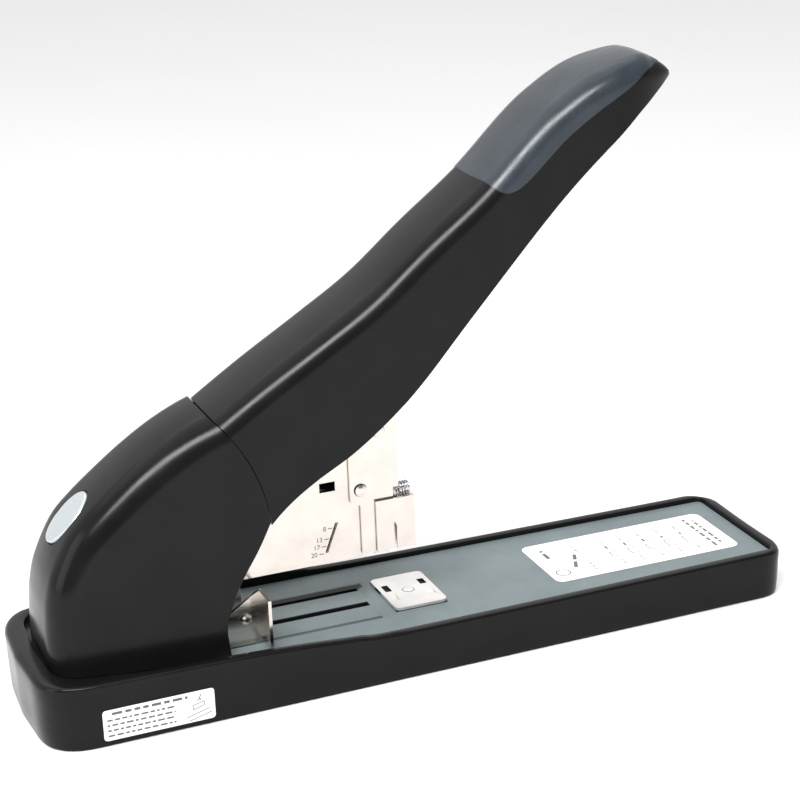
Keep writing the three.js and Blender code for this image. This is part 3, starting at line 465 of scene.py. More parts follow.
BLACK = black_plastic()
SLATE = slate_plastic()
GRIP = grip_rubber()
FOOT = foot_rubber()
ANVIL_NICKEL = anvil_nickel()
NICKEL = metal("bright_nickel", (0.65, 0.60, 0.555), 0.17)
STEEL = metal("plain_steel", (0.42, 0.42, 0.43), 0.34, relief=0.12)
ZINC = metal("zinc_plate", (0.56, 0.57, 0.60), 0.38, grain=(2, 2, 2), relief=0.15)
SPRING_STEEL = metal("spring_steel", (0.50, 0.50, 0.52), 0.26, relief=0.08)
STAPLE_STEEL = metal("galvanised_staples", (0.62, 0.63, 0.65), 0.30, relief=0.08)
SILVER = silver_lacquer()
LABEL = label_film()
INK = printed_ink("printed_ink", (0.09, 0.092, 0.10))
PALE_INK = printed_ink("pale_ink", (0.30, 0.31, 0.32))
MARK_INK = printed_ink("engraved_mark", (0.10, 0.095, 0.085))

SIDES = ("near", "far")
CAD_FINISH = {
    SLATE: ["base_panel"],
    BLACK: ["anvil_holder", "pusher", "drawer_latch", "guide_slider"],
    ZINC: ["bottom_plate", "driver_block", "button_seat"],
    FOOT: [f"foot_{end}_{side}" for end in ("front", "rear") for side in SIDES],
    ANVIL_NICKEL: ["anvil_plate", "anvil_pin"],
    NICKEL: [
        "paper_guide", "head_frame", "nose_frame", "drawer_front",
        *(f"guide_rivet_{side}" for side in SIDES),
        *(f"nose_rivet_{level}_{side}" for level in ("lower", "upper") for side in SIDES),
    ],
    STEEL: [
        *(f"base_screw_{i}" for i in (1, 2, 3, 4)), "pivot_bracket", "bracket_screw_1", "bracket_screw_2",
        "head_axle", "handle_axle", "magazine_rail", "pusher_rod", "driver_blade", "handle_lever",
        "roller_pin", "drive_roller",
    ],
}  # fmt: skip
EDGE_WIDTH = {"base_panel": 0.25, "guide_slider": 0.3, "driver_block": 0.3, "anvil_holder": 0.3}


def finish_cad_nodes():
    for material, names in CAD_FINISH.items():
        for name in names:
            obj = NODES[name]
            obj.data.materials.clear()
            obj.data.materials.append(material)
            soften_by_angle(obj)
            bevel(obj, EDGE_WIDTH.get(name, 0.15))


# ---------------- moulded shells
FULL_HEIGHT = 15  # below this height of the cross-section its roundings shrink
CROWN = 0.35  # rise of the middle of the top over where the rounding ends
TIP_START, TIP_LENGTH = 0.85, 0.15  # the handle narrows along this share of it
FLANGE_DEPTH, FLANGE_WALL, FLANGE_REACH = 2.8, 1.6, 3.5


class Form:
    """A cross-section with rounded top edges, carried between a top edge and an underside.

    A place on it is (t, q): t runs from 0 to 1 along the top edge. The size of q runs from 0 at the middle
    of the top, to 1 where the rounding starts, to 2 where it ends, and on down the side wall. The sign of q
    is the side. The inset is the depth under the outer skin.
    """

    def __init__(self, top, bottom, half, round_radius, share, side_length):
        self.top = Curve(top)
        self.bottom = Curve(bottom)
        self.half = half
        self.round_radius = round_radius
        self.share = share
        self.side_length = side_length

    def point(self, t, q, inset=0.0):
        edge = self.top.at(t)
        down = self.bottom.at(t) - edge
        height = max(np.linalg.norm(down), 1e-6)
        down /= height
        inset = min(inset, 0.3 * height)
        fullness = min(1, height / FULL_HEIGHT)
        radius = self.round_radius * fullness
        flat = self.half - radius
        size = abs(q)
        if size <= 1:
            y = flat * size
            depth = inset + CROWN * size * size * fullness
        elif size <= 2:
            angle = (size - 1) * math.pi / 2
            y = flat + (radius - inset) * math.sin(angle)
            depth = radius - (radius - inset) * math.cos(angle) + CROWN * (2 - size) * fullness
        else:
            y = self.half - inset
            depth = radius + (size - 2) * self.side_length(height - radius)
        x, z = edge + down * depth
        return np.array([x, math.copysign(y, q) * self.share(t, depth, z), z])

    def lattice(self, sides, start, end, columns, inset=0.0):
        """Grid of points: one row for each q, with t from start(q) to end(q)."""
        steps = np.linspace(0, 1, columns)
        rows = []
        for q in sides:
            low, high = start(q), end(q)
            rows.append([self.point(low + (high - low) * s, q, inset) for s in steps])
        return np.array(rows)


def handle_share(t, depth, _z):
    tip = min(1.0, max(0.0, (t - TIP_START) / TIP_LENGTH))
    return (1.03 + 0.0012 * depth * (1 - t) - 0.07 * t) * (1 - 0.65 * tip**2)


def cover_share(_t, _depth, z):
    return (24.4 - 0.048 * z) / COVER_HALF_WIDTH


def handle_side(rest):
    return max(rest, 0)


def cover_side(_rest):
    return 1.0


handle_form = Form(HANDLE_TOP, HANDLE_BOTTOM, HANDLE_HALF_WIDTH, 8.8, handle_share, handle_side)
cover_form = Form(COVER_BACK, COVER_CORE, COVER_HALF_WIDTH, 11.4, cover_share, cover_side)


def lip_distance(point):
    return math.hypot(point[0] - PIVOT_HANDLE[0], point[2] - PIVOT_HANDLE[1])


def side_rows(last, flat=7, rounding=12, side=14):
    """Values of q from one side's lower edge over the top to the other's."""
    half = np.concatenate([
        np.linspace(0, 1, flat),
        np.linspace(1, 2, rounding)[1:],
        np.linspace(2, last, side)[1:],
    ])
    return np.concatenate([-half[::-1], half[1:]])


def handle_start(q):
    return bisect(lambda t: lip_distance(handle_form.point(t, q)) > LIP_RADIUS + GAP, 0.0, 0.4)


def handle_end(_q):
    return 1.0


def handle_shell():
    rows = side_rows(3.0)
    outer = handle_form.lattice(rows, handle_start, handle_end, 110)
    inner = handle_form.lattice(rows, handle_start, handle_end, 110, SHELL)
    points, faces = two_skins(outer, inner)
    mesh = mesh_from("handle_shell_moulded", points, faces)
    obj = new_object("handle_shell_moulded", mesh, BLACK, "handle", ["handle_shell"])
    bevel(obj, 0.6, 3, 50)


def handle_flange():
    """A step at the handle's rear end that runs in under the lip of the cover."""

    def place(q, radius):
        return bisect(lambda t: lip_distance(handle_form.point(t, q, FLANGE_DEPTH)) > radius, 0.0, 0.4)

    def first(q):
        return place(q, LIP_RADIUS - FLANGE_REACH)

    def last(q):
        return place(q, LIP_RADIUS + FLANGE_REACH)

    rows = side_rows(2.9)
    outer = handle_form.lattice(rows, first, last, 6, FLANGE_DEPTH)
    inner = handle_form.lattice(rows, first, last, 6, FLANGE_DEPTH + FLANGE_WALL)
    points, faces = two_skins(outer, inner)
    mesh = mesh_from("handle_flange", points, faces)
    new_object("handle_flange", mesh, BLACK, "handle")


PAD_REAR_X = 31.5
PAD_FRONT_X = 107.6
PAD_PROUD = 0.25
PAD_DEPTH = [
    (31.5, 8.6), (38, 11), (45, 13), (53, 13.4), (62, 12.8), (75, 12.2), (88, 9.6), (97, 6.4), (109.4, 3),
]  # fmt: skip
pad_depth_curve = Curve(PAD_DEPTH)


def grip_pad():
    """A pad over the end of the handle: it covers the top and wraps a little way down each side."""

    def t_at(x):
        return bisect(lambda t: handle_form.top.at(t)[0] > x, 0.3, 0.985)

    rear = t_at(PAD_REAR_X)
    front = t_at(PAD_FRONT_X)
    columns = 96
    across = np.linspace(-1, 1, 61)
    # The ends are rounded: nearly square at the rear, an ellipse at the tip.
    phase = (1 - np.cos(np.linspace(0, np.pi, columns))) / 2
    rear_share, rear_power = 0.19, 3.2
    front_share, front_power = 0.20, 2.3

    def reach(step):
        if step < rear_share:
            return (1 - (1 - step / rear_share) ** rear_power) ** (1 / rear_power)
        if step > 1 - front_share:
            return (1 - ((step - 1 + front_share) / front_share) ** front_power) ** (1 / front_power)
        return 1.0

    def q_at(t, share):
        """The place that share of the way from the middle to the pad's lower edge, by distance round."""
        height = np.linalg.norm(handle_form.bottom.at(t) - handle_form.top.at(t))
        radius = handle_form.round_radius * min(1, height / FULL_HEIGHT)
        flat = handle_form.half - radius
        depth = pad_depth_curve.height_at(handle_form.top.at(t)[0])
        bend = math.acos(max(0.0, 1 - depth / radius)) if depth < radius else math.pi / 2
        distance = abs(share) * (flat + radius * bend + max(0.0, depth - radius))
        if distance <= flat:
            q = distance / flat
        elif distance <= flat + radius * math.pi / 2:
            q = 1 + (distance - flat) / (radius * math.pi / 2)
        else:
            q = 2 + (distance - flat - radius * math.pi / 2) / max(height - radius, 1)
        return math.copysign(q, share)

    def skin(inset):
        grid = []
        for share in across:
            row = []
            for step in phase:
                t = rear + (front - rear) * step
                row.append(handle_form.point(t, q_at(t, share * reach(step)), inset))
            grid.append(row)
        return np.array(grid)

    points, faces = two_skins(skin(-PAD_PROUD), skin(1.2))
    mesh = mesh_from("grip_pad_moulded", points, faces)
    obj = new_object("grip_pad_moulded", mesh, GRIP, "handle", ["grip_pad"])
    bevel(obj, 0.22, 2, 50)


def cover_start(q):
    return bisect(lambda t: is_above_deck(cover_form.point(t, q)), 0.0, 0.6)


def is_above_deck(point):
    return point[2] > deck_curve.height_at(point[0]) + GAP


def is_past_cover_edge(point):
    return lip_distance(point) > LIP_RADIUS or point[0] > cover_front.x_at(point[2])


def cover_end(q):
    start = cover_start(q)
    return max(start, bisect(lambda t: is_past_cover_edge(cover_form.point(t, q)), start, 1.0))


def rear_cover():
    last = bisect(lambda q: cover_end(q) - cover_start(q) < 1e-3, 2.0, 75.0)
    rows = side_rows(last, side=34)
    outer = cover_form.lattice(rows, cover_start, cover_end, 70)
    inner = cover_form.lattice(rows, cover_start, cover_end, 70, SHELL)
    points, faces = two_skins(outer, inner)
    mesh = mesh_from("rear_cover_moulded", points, faces)
    obj = new_object("rear_cover_moulded", mesh, BLACK, "base", ["rear_cover"])
    cut_button_hole(obj)
    bevel(obj, 0.35, 2, 50)


def cut_button_hole(obj):
    cutter_mesh = bpy.data.meshes.new("button_hole")
    shape = bmesh.new()
    bmesh.ops.create_cone(shape, cap_ends=True, segments=96, radius1=1, radius2=1, depth=2)
    shape.to_mesh(cutter_mesh)
    shape.free()
    cutter = add_to_scene("button_hole", cutter_mesh)
    cutter.matrix_world = BUTTON_FRAME @ Matrix.Diagonal(
        ((BUTTON_LONG + BUTTON_PLAY) * MM, (BUTTON_SHORT + BUTTON_PLAY) * MM, 9 * MM, 1)
    )
    modifier = obj.modifiers.new("hole", "BOOLEAN")
    modifier.object = cutter
    modifier.solver = "EXACT"
    bpy.context.view_layer.update()
    depsgraph = bpy.context.evaluated_depsgraph_get()
    cut_mesh = bpy.data.meshes.new_from_object(obj.evaluated_get(depsgraph))
    obj.modifiers.clear()
    obj.data = cut_mesh
    bpy.data.objects.remove(cutter)


# ---------------- release button
BUTTON_LONG = 11.0
BUTTON_SHORT = 8.0
BUTTON_PLAY = 0.45
BUTTON_SEAT, BUTTON_HEAD = -10.3, -1.9  # ends of its spring, along the button's axis
BUTTON_PLACE = (-126.5, 73.2)
BUTTON_FRAME = (
    Matrix.Translation((BUTTON_PLACE[0] * MM, 0, (BUTTON_PLACE[1] + LIFT) * MM))
    @ Matrix.Rotation(math.radians(-45), 4, "Y")
)


def release_button():
    """A domed oval with a rounded rim, on a stem."""
    points = []
    profile = [(0.0, -9), (0.18, -9), (0.18, -1.6), (0.93, -1.6), (1.0, -1.2), (1.0, -0.1)]
    profile += [(1.0 - 0.07 * (1 - math.cos(a)), -0.1 + 0.55 * math.sin(a)) for a in (0.4, 0.8, 1.2)]
    profile += [(r, 0.45 + 0.75 * (1 - (r / 0.93) ** 2)) for r in (0.88, 0.75, 0.6, 0.45, 0.3, 0.15, 0.0)]
    count = 72
    for radius, height in profile:
        for i in range(count):
            angle = 2 * math.pi * i / count
            local = Vector((
                BUTTON_LONG * radius * math.cos(angle) * MM,
                BUTTON_SHORT * radius * math.sin(angle) * MM,
                height * MM,
            ))
            place = BUTTON_FRAME @ local
            points.append((place.x / MM, place.y / MM, place.z / MM - LIFT))
    faces = grid_faces(len(profile), count, closed=True)
    mesh = mesh_from("release_button_lacquered", points, faces)
    obj = new_object("release_button_lacquered", mesh, SILVER, "button", ["release_button"])
    bevel(obj, 0.12, 2, 50)


# ---------------- base tray
def plan_loop(margin_side, margin_rear, margin_front, radius_rear, radius_front):
    """Half of a plan of the base, from the middle of the rear end along the far side to the front."""
    rear = -HALF_LENGTH + margin_rear
    front = HALF_LENGTH - margin_front
    wide = HALF_WIDTH_REAR - margin_side
    narrow = HALF_WIDTH_FRONT - margin_side
    bow = 2.0

    def corner(before, at, after, radius, steps=10):
        a, b, c = (np.array(p, float) for p in (before, at, after))
        start = b + (a - b) / np.linalg.norm(a - b) * radius
        end = b + (c - b) / np.linalg.norm(c - b) * radius
        return [
            start * (1 - t) ** 2 + b * 2 * t * (1 - t) + end * t * t for t in np.linspace(0, 1, steps)
        ]

    first = np.array([rear, 0.0])
    rear_corner = corner((rear, 0), (rear + bow, wide), (front, narrow), radius_rear)
    front_corner = corner((rear + bow, wide), (front, narrow), (front, 0), radius_front)
    side = side_stations(rear_corner[-1], front_corner[0])
    across_rear = [first + (rear_corner[0] - first) * t for t in np.linspace(0, 1, 7)[:-1]]
    last = np.array([front, 0.0])
    across_front = [front_corner[-1] + (last - front_corner[-1]) * t for t in np.linspace(0, 1, 7)[1:]]
    return np.array(across_rear + rear_corner + side + front_corner + across_front)


def side_stations(start, end):
    """Points along a side wall at fixed places along X, so that all loops share them."""
    stations = list(np.linspace(-128, -81.5, 15)) + [PANEL_REAR - 0.2, PANEL_REAR + 0.2]
    stations += list(np.linspace(-77, 16, 32)) + list(np.linspace(24, 134, 12))
    points = []
    for x in stations:
        share = (x - start[0]) / (end[0] - start[0])
        points.append(start + (end - start) * min(0.999, max(0.001, share)))
    return points


def full_loop(half):
    mirrored = half[1:-1][::-1] * np.array([1, -1])
    return np.concatenate([half, mirrored])


def rim_height(x):
    return rim_curve.height_at(x)


def floor_height(x):
    return deck_curve.height_at(x) if x < PANEL_REAR else RECESS_FLOOR


def tray_skin(depth):
    """Points and faces of the tray's surface, that depth in millimetres inside its outer skin."""
    loops = []
    for inset, share in ((1.0, 0.0), (0.75, 0.045), (0.5, 0.25), (0.2, 0.7)):
        inset += depth
        loop = full_loop(plan_loop(inset, inset, inset, REAR_CORNER - inset, FRONT_CORNER - inset))
        loops.append([(x, y, share * rim_height(x)) for x, y in loop])
    outer = full_loop(plan_loop(depth, depth, depth, REAR_CORNER - depth, FRONT_CORNER - depth))
    front_margin = HALF_LENGTH - PANEL_FRONT - 0.5
    inner = full_loop(plan_loop(4.0 - depth, 7.4 - depth, front_margin - depth, 13, 3.5))
    towards = inner - outer
    towards /= np.linalg.norm(towards, axis=1)[:, None]
    shrink = 1 - 0.7 * depth / TRAY_WALL
    # The rim's outer edge is nearly sharp along the sides and well rounded at both ends.
    for angle in np.linspace(0, math.pi / 2, 6):
        ring = []
        for (x, y), direction in zip(outer, towards):
            radius = 1.1 + 1.6 * smoothstep(138, 149, x) + 1.6 * smoothstep(-138, -149, x)
            radius *= shrink
            place = np.array([x, y]) + direction * radius * (1 - math.cos(angle))
            ring.append((*place, rim_height(x) - depth - radius * (1 - math.sin(angle))))
        loops.append(ring)
    edge = 0.6 * shrink
    for angle in np.linspace(math.pi / 2, 0, 4):
        ring = []
        for (x, y), direction, out in zip(inner, towards, outer):
            place = np.array([x, y]) - direction * edge * (1 - math.cos(angle))
            ring.append((*place, rim_height(out[0]) - depth - edge * (1 - math.sin(angle))))
        loops.append(ring)
    loops.append([(x, y, floor_height(x) - depth) for x, y in inner])
    count = len(outer)
    points = [point for ring in loops for point in ring]
    faces = grid_faces(len(loops), count, closed=True)
    deck_points, deck_faces = deck_grid(inner, len(points), (len(loops) - 1) * count, depth)
    return points + deck_points, faces + deck_faces


def thicken(outer_points, inner_points, faces):
    """Close two skins that share their faces by joining them along every open edge."""
    count = len(outer_points)
    edges = {}
    for face in faces:
        for a, b in zip(face, (*face[1:], face[0])):
            edges[(a, b)] = edges.get((a, b), 0) + 1
    closed = list(faces) + [tuple(i + count for i in reversed(face)) for face in faces]
    closed += [(b, a, a + count, b + count) for a, b in edges if (b, a) not in edges]
    return list(outer_points) + list(inner_points), closed


def base_tray():
    outer, faces = tray_skin(0.0)
    inner, _ = tray_skin(TRAY_WALL)
    points, faces = thicken(outer, inner, faces)
    mesh = mesh_from("base_tray_moulded", points, faces)
    obj = new_object("base_tray_moulded", mesh, BLACK, "base", ["base_tray"])
    soften_by_angle(obj, 50)


DECK_COLUMNS = (-24.4, -18.2, -9.0, 0.0, 9.0, 18.2, 24.4)
OPEN_X = (-80.0, 13.4)


def deck_grid(inner, start, ring_start, depth):
    """Floor of the recess, left open under the panel where the guide and the anvil pass through it."""
    half_count = len(inner) // 2 + 1
    total = len(inner)
    points = []
    faces = []
    rows = []
    for k in range(1, half_count - 1):
        x, half_width = inner[k]
        row = [ring_start + (total - k) % total]
        for j, y in enumerate(DECK_COLUMNS):
            limit = half_width * (0.25 + 0.22 * abs(j - 3))
            row.append(start + len(points))
            points.append((x, math.copysign(min(abs(y), limit), y), floor_height(x) - depth))
        row.append(ring_start + k)
        rows.append((x, row))
    for (x0, a), (x1, b) in zip(rows, rows[1:]):
        for j in range(len(a) - 1):
            in_opening = OPEN_X[0] < (x0 + x1) / 2 < OPEN_X[1] and 2 <= j <= 5
            if not in_opening:
                faces.append((a[j], a[j + 1], b[j + 1], b[j]))
    for x, row, tip in ((rows[0][0], rows[0][1], 0), (rows[-1][0], rows[-1][1], half_count - 1)):
        faces.append([*row, ring_start + tip])
    return points, faces


# ---------------- labels
def label_plate(name, middle, size, radius, thickness, frame_matrix, replaces):
    """A thin plate with rounded corners; its face looks along the frame's +Z."""
    half_x, half_y = size[0] / 2, size[1] / 2
    loop = []
    for cx, cy, first in ((1, 1, 0), (-1, 1, 90), (-1, -1, 180), (1, -1, 270)):
        for step in range(7):
            angle = math.radians(first + 15 * step)
            loop.append((
                cx * (half_x - radius) + radius * math.cos(angle),
                cy * (half_y - radius) + radius * math.sin(angle),
            ))
    count = len(loop)
    points = []
    for height, shrink in ((0, 0), (thickness * 0.6, 0), (thickness, 0.08)):
        for x, y in loop:
            scale = 1 - shrink / max(half_x, half_y)
            local = frame_matrix @ Vector((x * scale, y * scale, height))
            points.append((local.x + middle[0], local.y + middle[1], local.z + middle[2]))
    faces = grid_faces(3, count, closed=True)
    faces.append(list(range(count))[::-1])
    faces.append([2 * count + i for i in range(count)])
    mesh = mesh_from(name, points, faces, smooth=False)
    new_object(name, mesh, LABEL, "base", replaces)


def print_on(name, middle, frame_matrix, bars, lift, material):
    """Thin printed bars (x, y, length, height, turn in degrees) on a label."""
    points = []
    faces = []
    thickness = 0.03
    for x, y, length, height, turn in bars:
        start = len(points)
        spin = Matrix.Rotation(math.radians(turn), 3, "Z")
        for z in (lift, lift + thickness):
            for sx, sy in ((-1, -1), (1, -1), (1, 1), (-1, 1)):
                flat = spin @ Vector((sx * length / 2, sy * height / 2, 0))
                local = frame_matrix @ Vector((x + flat.x, y + flat.y, z))
                points.append((local.x + middle[0], local.y + middle[1], local.z + middle[2]))
        faces += [[start + i for i in face] for face in BOX_FACES]
    mesh = mesh_from(name, points, faces, smooth=False)
    new_object(name, mesh, material, "base")


def greeked_line(x, y, length, height, seed, turn=0.0):
    """A row of short bars that stands for a line of small print, centred on its place."""
    random = np.random.default_rng(seed)
    bars = []
    place = -length / 2
    spin = math.radians(turn)
    while place < length / 2:
        word = min(random.uniform(1.6, 4.2) * height, length / 2 - place)
        middle = place + word / 2
        if word > 0.3 * height:
            bars.append((x + middle * math.cos(spin), y + middle * math.sin(spin), word * 0.9, height, turn))
        place += word + 0.75 * height
    return bars


def staple_icon(x, y, width, leg, line=0.42):
    """A drawn staple: a crown bar across Y with a leg from each end towards +X."""
    return [
        (x, y, line, width, 0),
        (x + leg / 2, y - width / 2 + line / 2, leg, line, 0),
        (x + leg / 2, y + width / 2 - line / 2, leg, line, 0),
    ]


def spec_label():
    low, high = box_mm("spec_label")
    middle = ((low[0] + high[0]) / 2, 0.0, low[2])
    size = (high[0] - low[0], high[1] - low[1])
    flat = Matrix.Identity(3)
    label_plate("spec_label_film", middle, size, 3.2, 0.2, flat, ["spec_label"])
    dark = []
    pale = []
    # Two header lines run across the label at its front end.
    dark += greeked_line(34.6, 0, 24, 1.15, 3, 90)
    dark += greeked_line(31.4, 0, 29, 1.15, 4, 90)
    # Each row has a drawn staple between columns of small figures.
    for i in range(5):
        x = 24.5 - 8.2 * i
        dark += staple_icon(x - 1.6, -3.6, 4.4 + 0.5 * (4 - i), 3.4)
        dark += greeked_line(x - 0.4, 3.4, 3.0, 1.0, 11 + i, 90)
        pale += greeked_line(x, 9.4, 4.2, 0.9, 21 + i, 90)
        pale += greeked_line(x, -11.4, 4.4, 0.9, 31 + i, 90)
        pale += [(x - 3.9, 0, 0.12, 31, 0)]
    # The rear end has a plain round mark, a sloping line of print and two small lines.
    dark += ring_bars(-34.2, -10.6, 2.7, 0.5)
    dark += greeked_line(-25.0, -2.0, 14, 1.5, 41, 68)
    dark += greeked_line(-33.6, 7.6, 8.5, 1.6, 42, 90)
    pale += greeked_line(-20.8, 9.0, 8.5, 0.9, 43, 90)
    pale += greeked_line(-20.8, -9.5, 8.5, 0.9, 44, 90)
    print_on("spec_label_print_dark", middle, flat, dark, 0.2, INK)
    print_on("spec_label_print_pale", middle, flat, pale, 0.2, PALE_INK)


def ring_bars(x, y, radius, line, count=20):
    bars = []
    for i in range(count):
        turn = 360 * i / count
        angle = math.radians(turn)
        length = 2 * math.pi * radius / count * 1.08
        bars.append((x + radius * math.cos(angle), y + radius * math.sin(angle), length, line, turn + 90))
    return bars


def side_label():
    low, high = box_mm("side_label")
    wall_angle = math.atan2(HALF_WIDTH_REAR - HALF_WIDTH_FRONT, 2 * HALF_LENGTH)
    upright = Matrix.Rotation(wall_angle, 3, "Z") @ Matrix.Rotation(math.radians(90), 3, "X")
    middle = ((low[0] + high[0]) / 2, (low[1] + high[1]) / 2 + 0.18, (low[2] + high[2]) / 2)
    size = (high[0] - low[0], high[2] - low[2])
    label_plate("side_label_film", middle, size, 1.3, 0.16, upright, ["side_label"])
    dark = greeked_line(-3.4, 4.3, 28, 1.05, 51)
    for i in range(4):
        dark += greeked_line(-6.6, 1.9 - 2.0 * i, 25, 0.7, 52 + i)
    # A small line drawing: a block on a board, with an arrow over it.
    dark += [
        (14.2, -2.6, 9.0, 0.3, 14), (14.8, -4.2, 9.0, 0.3, 14), (14.4, -0.6, 4.2, 0.3, 14),
        (14.4, 1.1, 4.2, 0.3, 14), (12.3, -0.3, 0.3, 1.9, 0), (16.5, 0.8, 0.3, 1.9, 0),
        (15.0, 3.4, 0.35, 2.6, -24), (14.4, 2.4, 1.1, 0.3, 30), (15.2, 2.5, 1.1, 0.3, -70),
    ]  # fmt: skip
    print_on("side_label_print", middle, upright, dark, 0.16, INK)


# ---------------- springs and staples
def coil_points(radius, turns, height):
    """A coil about Z from 0 to the height; its end turns lie closer together."""
    steps_per_turn = 28
    closeness = 0.105
    count = int(turns * steps_per_turn)
    points = []
    for i in range(count + 1):
        share = i / count
        angle = 2 * math.pi * turns * share
        eased = share - closeness / turns * math.sin(2 * math.pi * share)
        points.append((radius * math.cos(angle), radius * math.sin(angle), eased * height))
    return np.array(points)


def spring_object(name, points, faces, node):
    mesh = mesh_from(name, points, faces)
    mesh.materials.append(SPRING_STEEL)
    obj = add_to_scene(name, mesh)
    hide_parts(node)
    return obj


def coil_between(node, start, end, radius, wire, turns, body):
    """A coil from start to end that rides one body; given two bodies it is left fixed where it is built."""
    start, end = np.array(start, float), np.array(end, float)
    axis = end - start
    height = np.linalg.norm(axis) - 2 * wire
    turn = Vector((0, 0, 1)).rotation_difference(Vector(axis)).to_matrix()
    local = coil_points(radius, turns, height)
    local[:, 2] += wire
    path = [np.array(turn @ Vector(p)) + start for p in local]
    obj = spring_object(node + "_wire", *tube_along(path, wire, 10), node)
    if isinstance(body, str):
        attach(obj, body)
    else:
        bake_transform(obj)


def coil_along(axis, node, radius, wire, turns, body):
    """A coil through the middle of a CAD spring's box, from end to end along X (0) or Z (2)."""
    low, high = box_mm(node)
    start = (low + high) / 2
    end = start.copy()
    start[axis] = low[axis]
    end[axis] = high[axis]
    coil_between(node, start, end, radius, wire, turns, body)


def springs():
    coil_along(2, "head_spring", 5.2, 0.7, 6, ("base", "head"))
    coil_along(2, "anvil_spring", 3.4, 0.45, 5, "base")
    coil_along(0, "pusher_spring", 3.0, 0.4, 11, ("drawer", "pusher"))
    for side in SIDES:
        coil_along(0, f"drawer_spring_{side}", 2.0, 0.35, 4, "drawer")
    places = [BUTTON_FRAME @ Vector((0, 0, height * MM)) for height in (BUTTON_SEAT, BUTTON_HEAD)]
    ends = [(p.x / MM, p.y / MM, p.z / MM - LIFT) for p in places]
    coil_between("button_spring", *ends, 3.2, 0.35, 5, ("base", "button"))
    torsion_spring()


def torsion_spring():
    """Coil on the handle's axle, with one leg on the base side and one leg up under the handle's lever."""
    low, high = box_mm("handle_spring")
    x0, z0 = PIVOT_HANDLE
    radius, wire, turns, leg = 5.2, 0.6, 2.5, 18
    y_first, y_last = low[1] + wire, high[1] - wire
    steps = 79
    path = [(x0 + leg, y_first, z0 + radius)]
    for i in range(steps + 1):
        share = i / steps
        angle = math.pi / 2 + share * turns * 2 * math.pi
        y = y_first + (y_last - y_first) * share
        path.append((x0 + radius * math.cos(angle), y, z0 + radius * math.sin(angle)))
    path.append((x0 + leg, y_last, z0 - radius))
    obj = spring_object("handle_spring_wire", *tube_along(path, wire, 10), "handle_spring")
    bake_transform(obj)


def staple_strip():
    """A stick of separate staples, each a bent flat wire with a thin gap to the next."""
    low, high = box_mm("staple_strip")
    pitch = 0.92
    count = int((high[0] - low[0]) / pitch)
    wire = 0.62
    boxes = []
    for i in range(count):
        x0 = high[0] - (i + 1) * pitch + 0.07
        x1 = x0 + pitch - 0.11
        boxes.append(((x0, low[1] + 0.3, high[2] - wire), (x1, high[1] - 0.3, high[2])))
        for side in (-1, 1):
            a, b = sorted((side * high[1], side * (high[1] - wire)))
            boxes.append(((x0, a, low[2]), (x1, b, high[2] - 0.35)))
    mesh = boxes_mesh("staple_stick", boxes)
    new_object("staple_stick", mesh, STAPLE_STEEL, "drawer", ["staple_strip"])


# ---------------- marks on the head
HEAD_MARKS = ((53.2, "8"), (49.2, "13"), (46.4, "17"), (43.6, "20"))
HEAD_FACE = 8.5
MARK_SPACE = 2.2  # from the gauge slot to the middle of the marks


def mark_x(height):
    """Place along X of the marks at a height: they keep their space from the slanted slot."""
    slot_x, slot_z, slant = -32.1, 43.8, 0.4
    return slot_x + (height - slot_z) * slant - MARK_SPACE


def gauge_marks():
    """Short engraved ticks and plain figures beside the slanted gauge slot, on the near side."""
    for z, figure in HEAD_MARKS:
        curve = bpy.data.curves.new(f"gauge_figure_{figure}", "FONT")
        curve.body = figure
        curve.size = 2.6 * MM
        curve.extrude = 0.02 * MM
        curve.align_x = "RIGHT"
        curve.align_y = "CENTER"
        curve.materials.append(MARK_INK)
        obj = add_to_scene(f"gauge_figure_{figure}", curve)
        place = Matrix.Translation(((mark_x(z) - 1.9) * MM, (-HEAD_FACE - 0.03) * MM, (z + LIFT) * MM))
        obj.matrix_world = place @ Matrix.Rotation(math.radians(90), 4, "X")
        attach(obj, "head")
    ticks = []
    for z, _ in HEAD_MARKS:
        x = mark_x(z)
        ticks.append(((x - 1.3, -HEAD_FACE - 0.04, z - 0.16), (x + 0.6, -HEAD_FACE + 0.02, z + 0.16)))
    mesh = boxes_mesh("gauge_ticks", ticks)
    new_object("gauge_ticks", mesh, MARK_INK, "head")


# ---------------- surroundings
CAMERA_PLACE = Vector((-277.07, -722.46, 377.55)) * MM
CAMERA_RIGHT = Vector((0.927208, -0.372688, -0.037264))
CAMERA_DOWN = Vector((-0.159966, -0.304080, -0.939120))
CAMERA_LENS = 100.09


def camera():
    data = bpy.data.cameras.new("camera")
    data.lens = CAMERA_LENS
    data.sensor_width = 36
    data.clip_start = 0.01
    data.clip_end = 50
    obj = add_to_scene("camera", data)
    right = CAMERA_RIGHT.normalized()
    up = (-CAMERA_DOWN).normalized()
    back = right.cross(up)
    turn = Matrix((right, up, back)).transposed().to_4x4()
    obj.matrix_world = Matrix.Translation(CAMERA_PLACE) @ turn
    bpy.context.scene.camera = obj


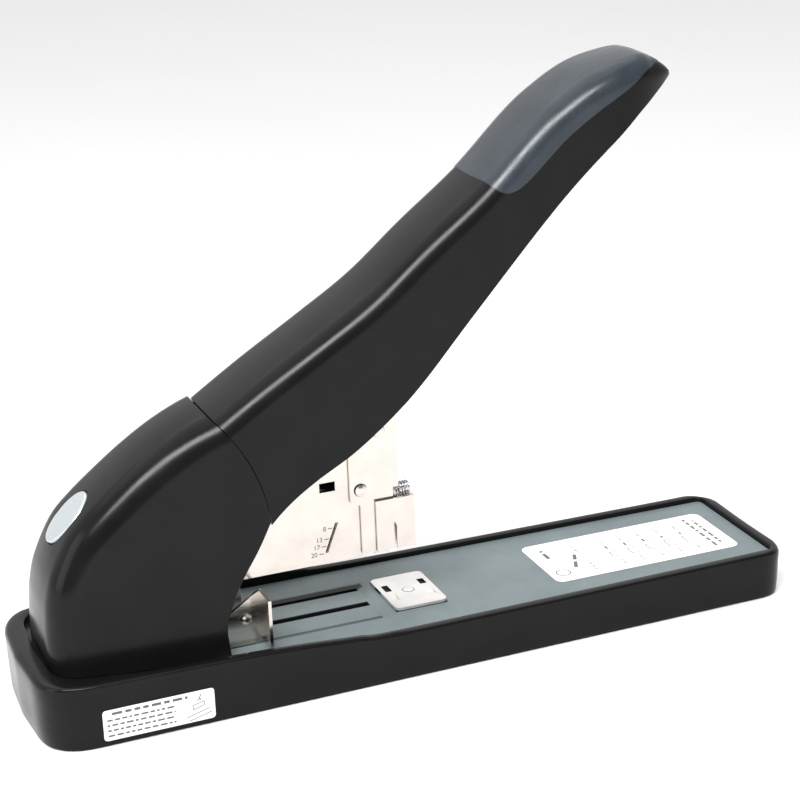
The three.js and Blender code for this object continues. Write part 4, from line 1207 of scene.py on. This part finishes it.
def soft_light(name, place, target, size, power):
    data = bpy.data.lights.new(name, "AREA")
    data.shape = "RECTANGLE"
    data.size, data.size_y = size
    data.energy = power
    obj = add_to_scene(name, data)
    direction = Vector(target) - Vector(place)
    obj.location = place
    obj.rotation_euler = direction.to_track_quat("-Z", "Y").to_euler()


def light_world(world):
    """A white room that is brighter behind the stapler than in front of it."""
    tree = world.node_tree
    background = tree.nodes["Background"]
    place = tree.nodes.new("ShaderNodeTexCoord")
    split = tree.nodes.new("ShaderNodeSeparateXYZ")
    spread = tree.nodes.new("ShaderNodeMapRange")
    spread.inputs["From Min"].default_value = -0.35
    spread.inputs["From Max"].default_value = 0.35
    spread.inputs["To Min"].default_value = 0.2
    spread.inputs["To Max"].default_value = 1.0
    tree.links.new(place.outputs["Generated"], split.inputs["Vector"])
    tree.links.new(split.outputs["Y"], spread.inputs["Value"])
    tree.links.new(spread.outputs["Result"], background.inputs["Strength"])
    background.inputs["Color"].default_value = (1.0, 1.0, 1.0, 1)


def studio():
    mesh = bpy.data.meshes.new("floor")
    reach = 6.0
    corners = [(-reach, -reach, 0), (reach, -reach, 0), (reach, reach, 0), (-reach, reach, 0)]
    mesh.from_pydata(corners, [], [(0, 1, 2, 3)])
    paint = Paint("pale_floor", (0.72, 0.72, 0.72), 0.6, specular=0.2)
    paint.vary_colour(paint.noise(300, 2), 0.01)
    mesh.materials.append(paint.material)
    floor = add_to_scene("floor", mesh)
    world = bpy.data.worlds.new("studio")
    world.use_nodes = True
    light_world(world)
    bpy.context.scene.world = world
    sun = bpy.data.lights.new("sky", "SUN")
    sun.energy = 1.1
    sun.angle = math.radians(70)
    sky = add_to_scene("sky", sun)
    sky.rotation_euler = (math.radians(-18), math.radians(-6), 0)
    soft_light("strip", (-0.42, -0.80, 1.10), (-0.03, 0, 0.12), (1.2, 0.28), 34)
    soft_light("left_fill", (-1.3, -0.1, 0.5), (-0.1, 0, 0.05), (0.6, 0.9), 4)
    settings = bpy.context.scene.view_settings
    settings.view_transform = "Standard"
    settings.exposure = 0.0


# ---------------- build
finish_cad_nodes()
base_tray()
rear_cover()
handle_shell()
handle_flange()
grip_pad()
release_button()
spec_label()
side_label()
springs()
staple_strip()
gauge_marks()
camera()
studio()
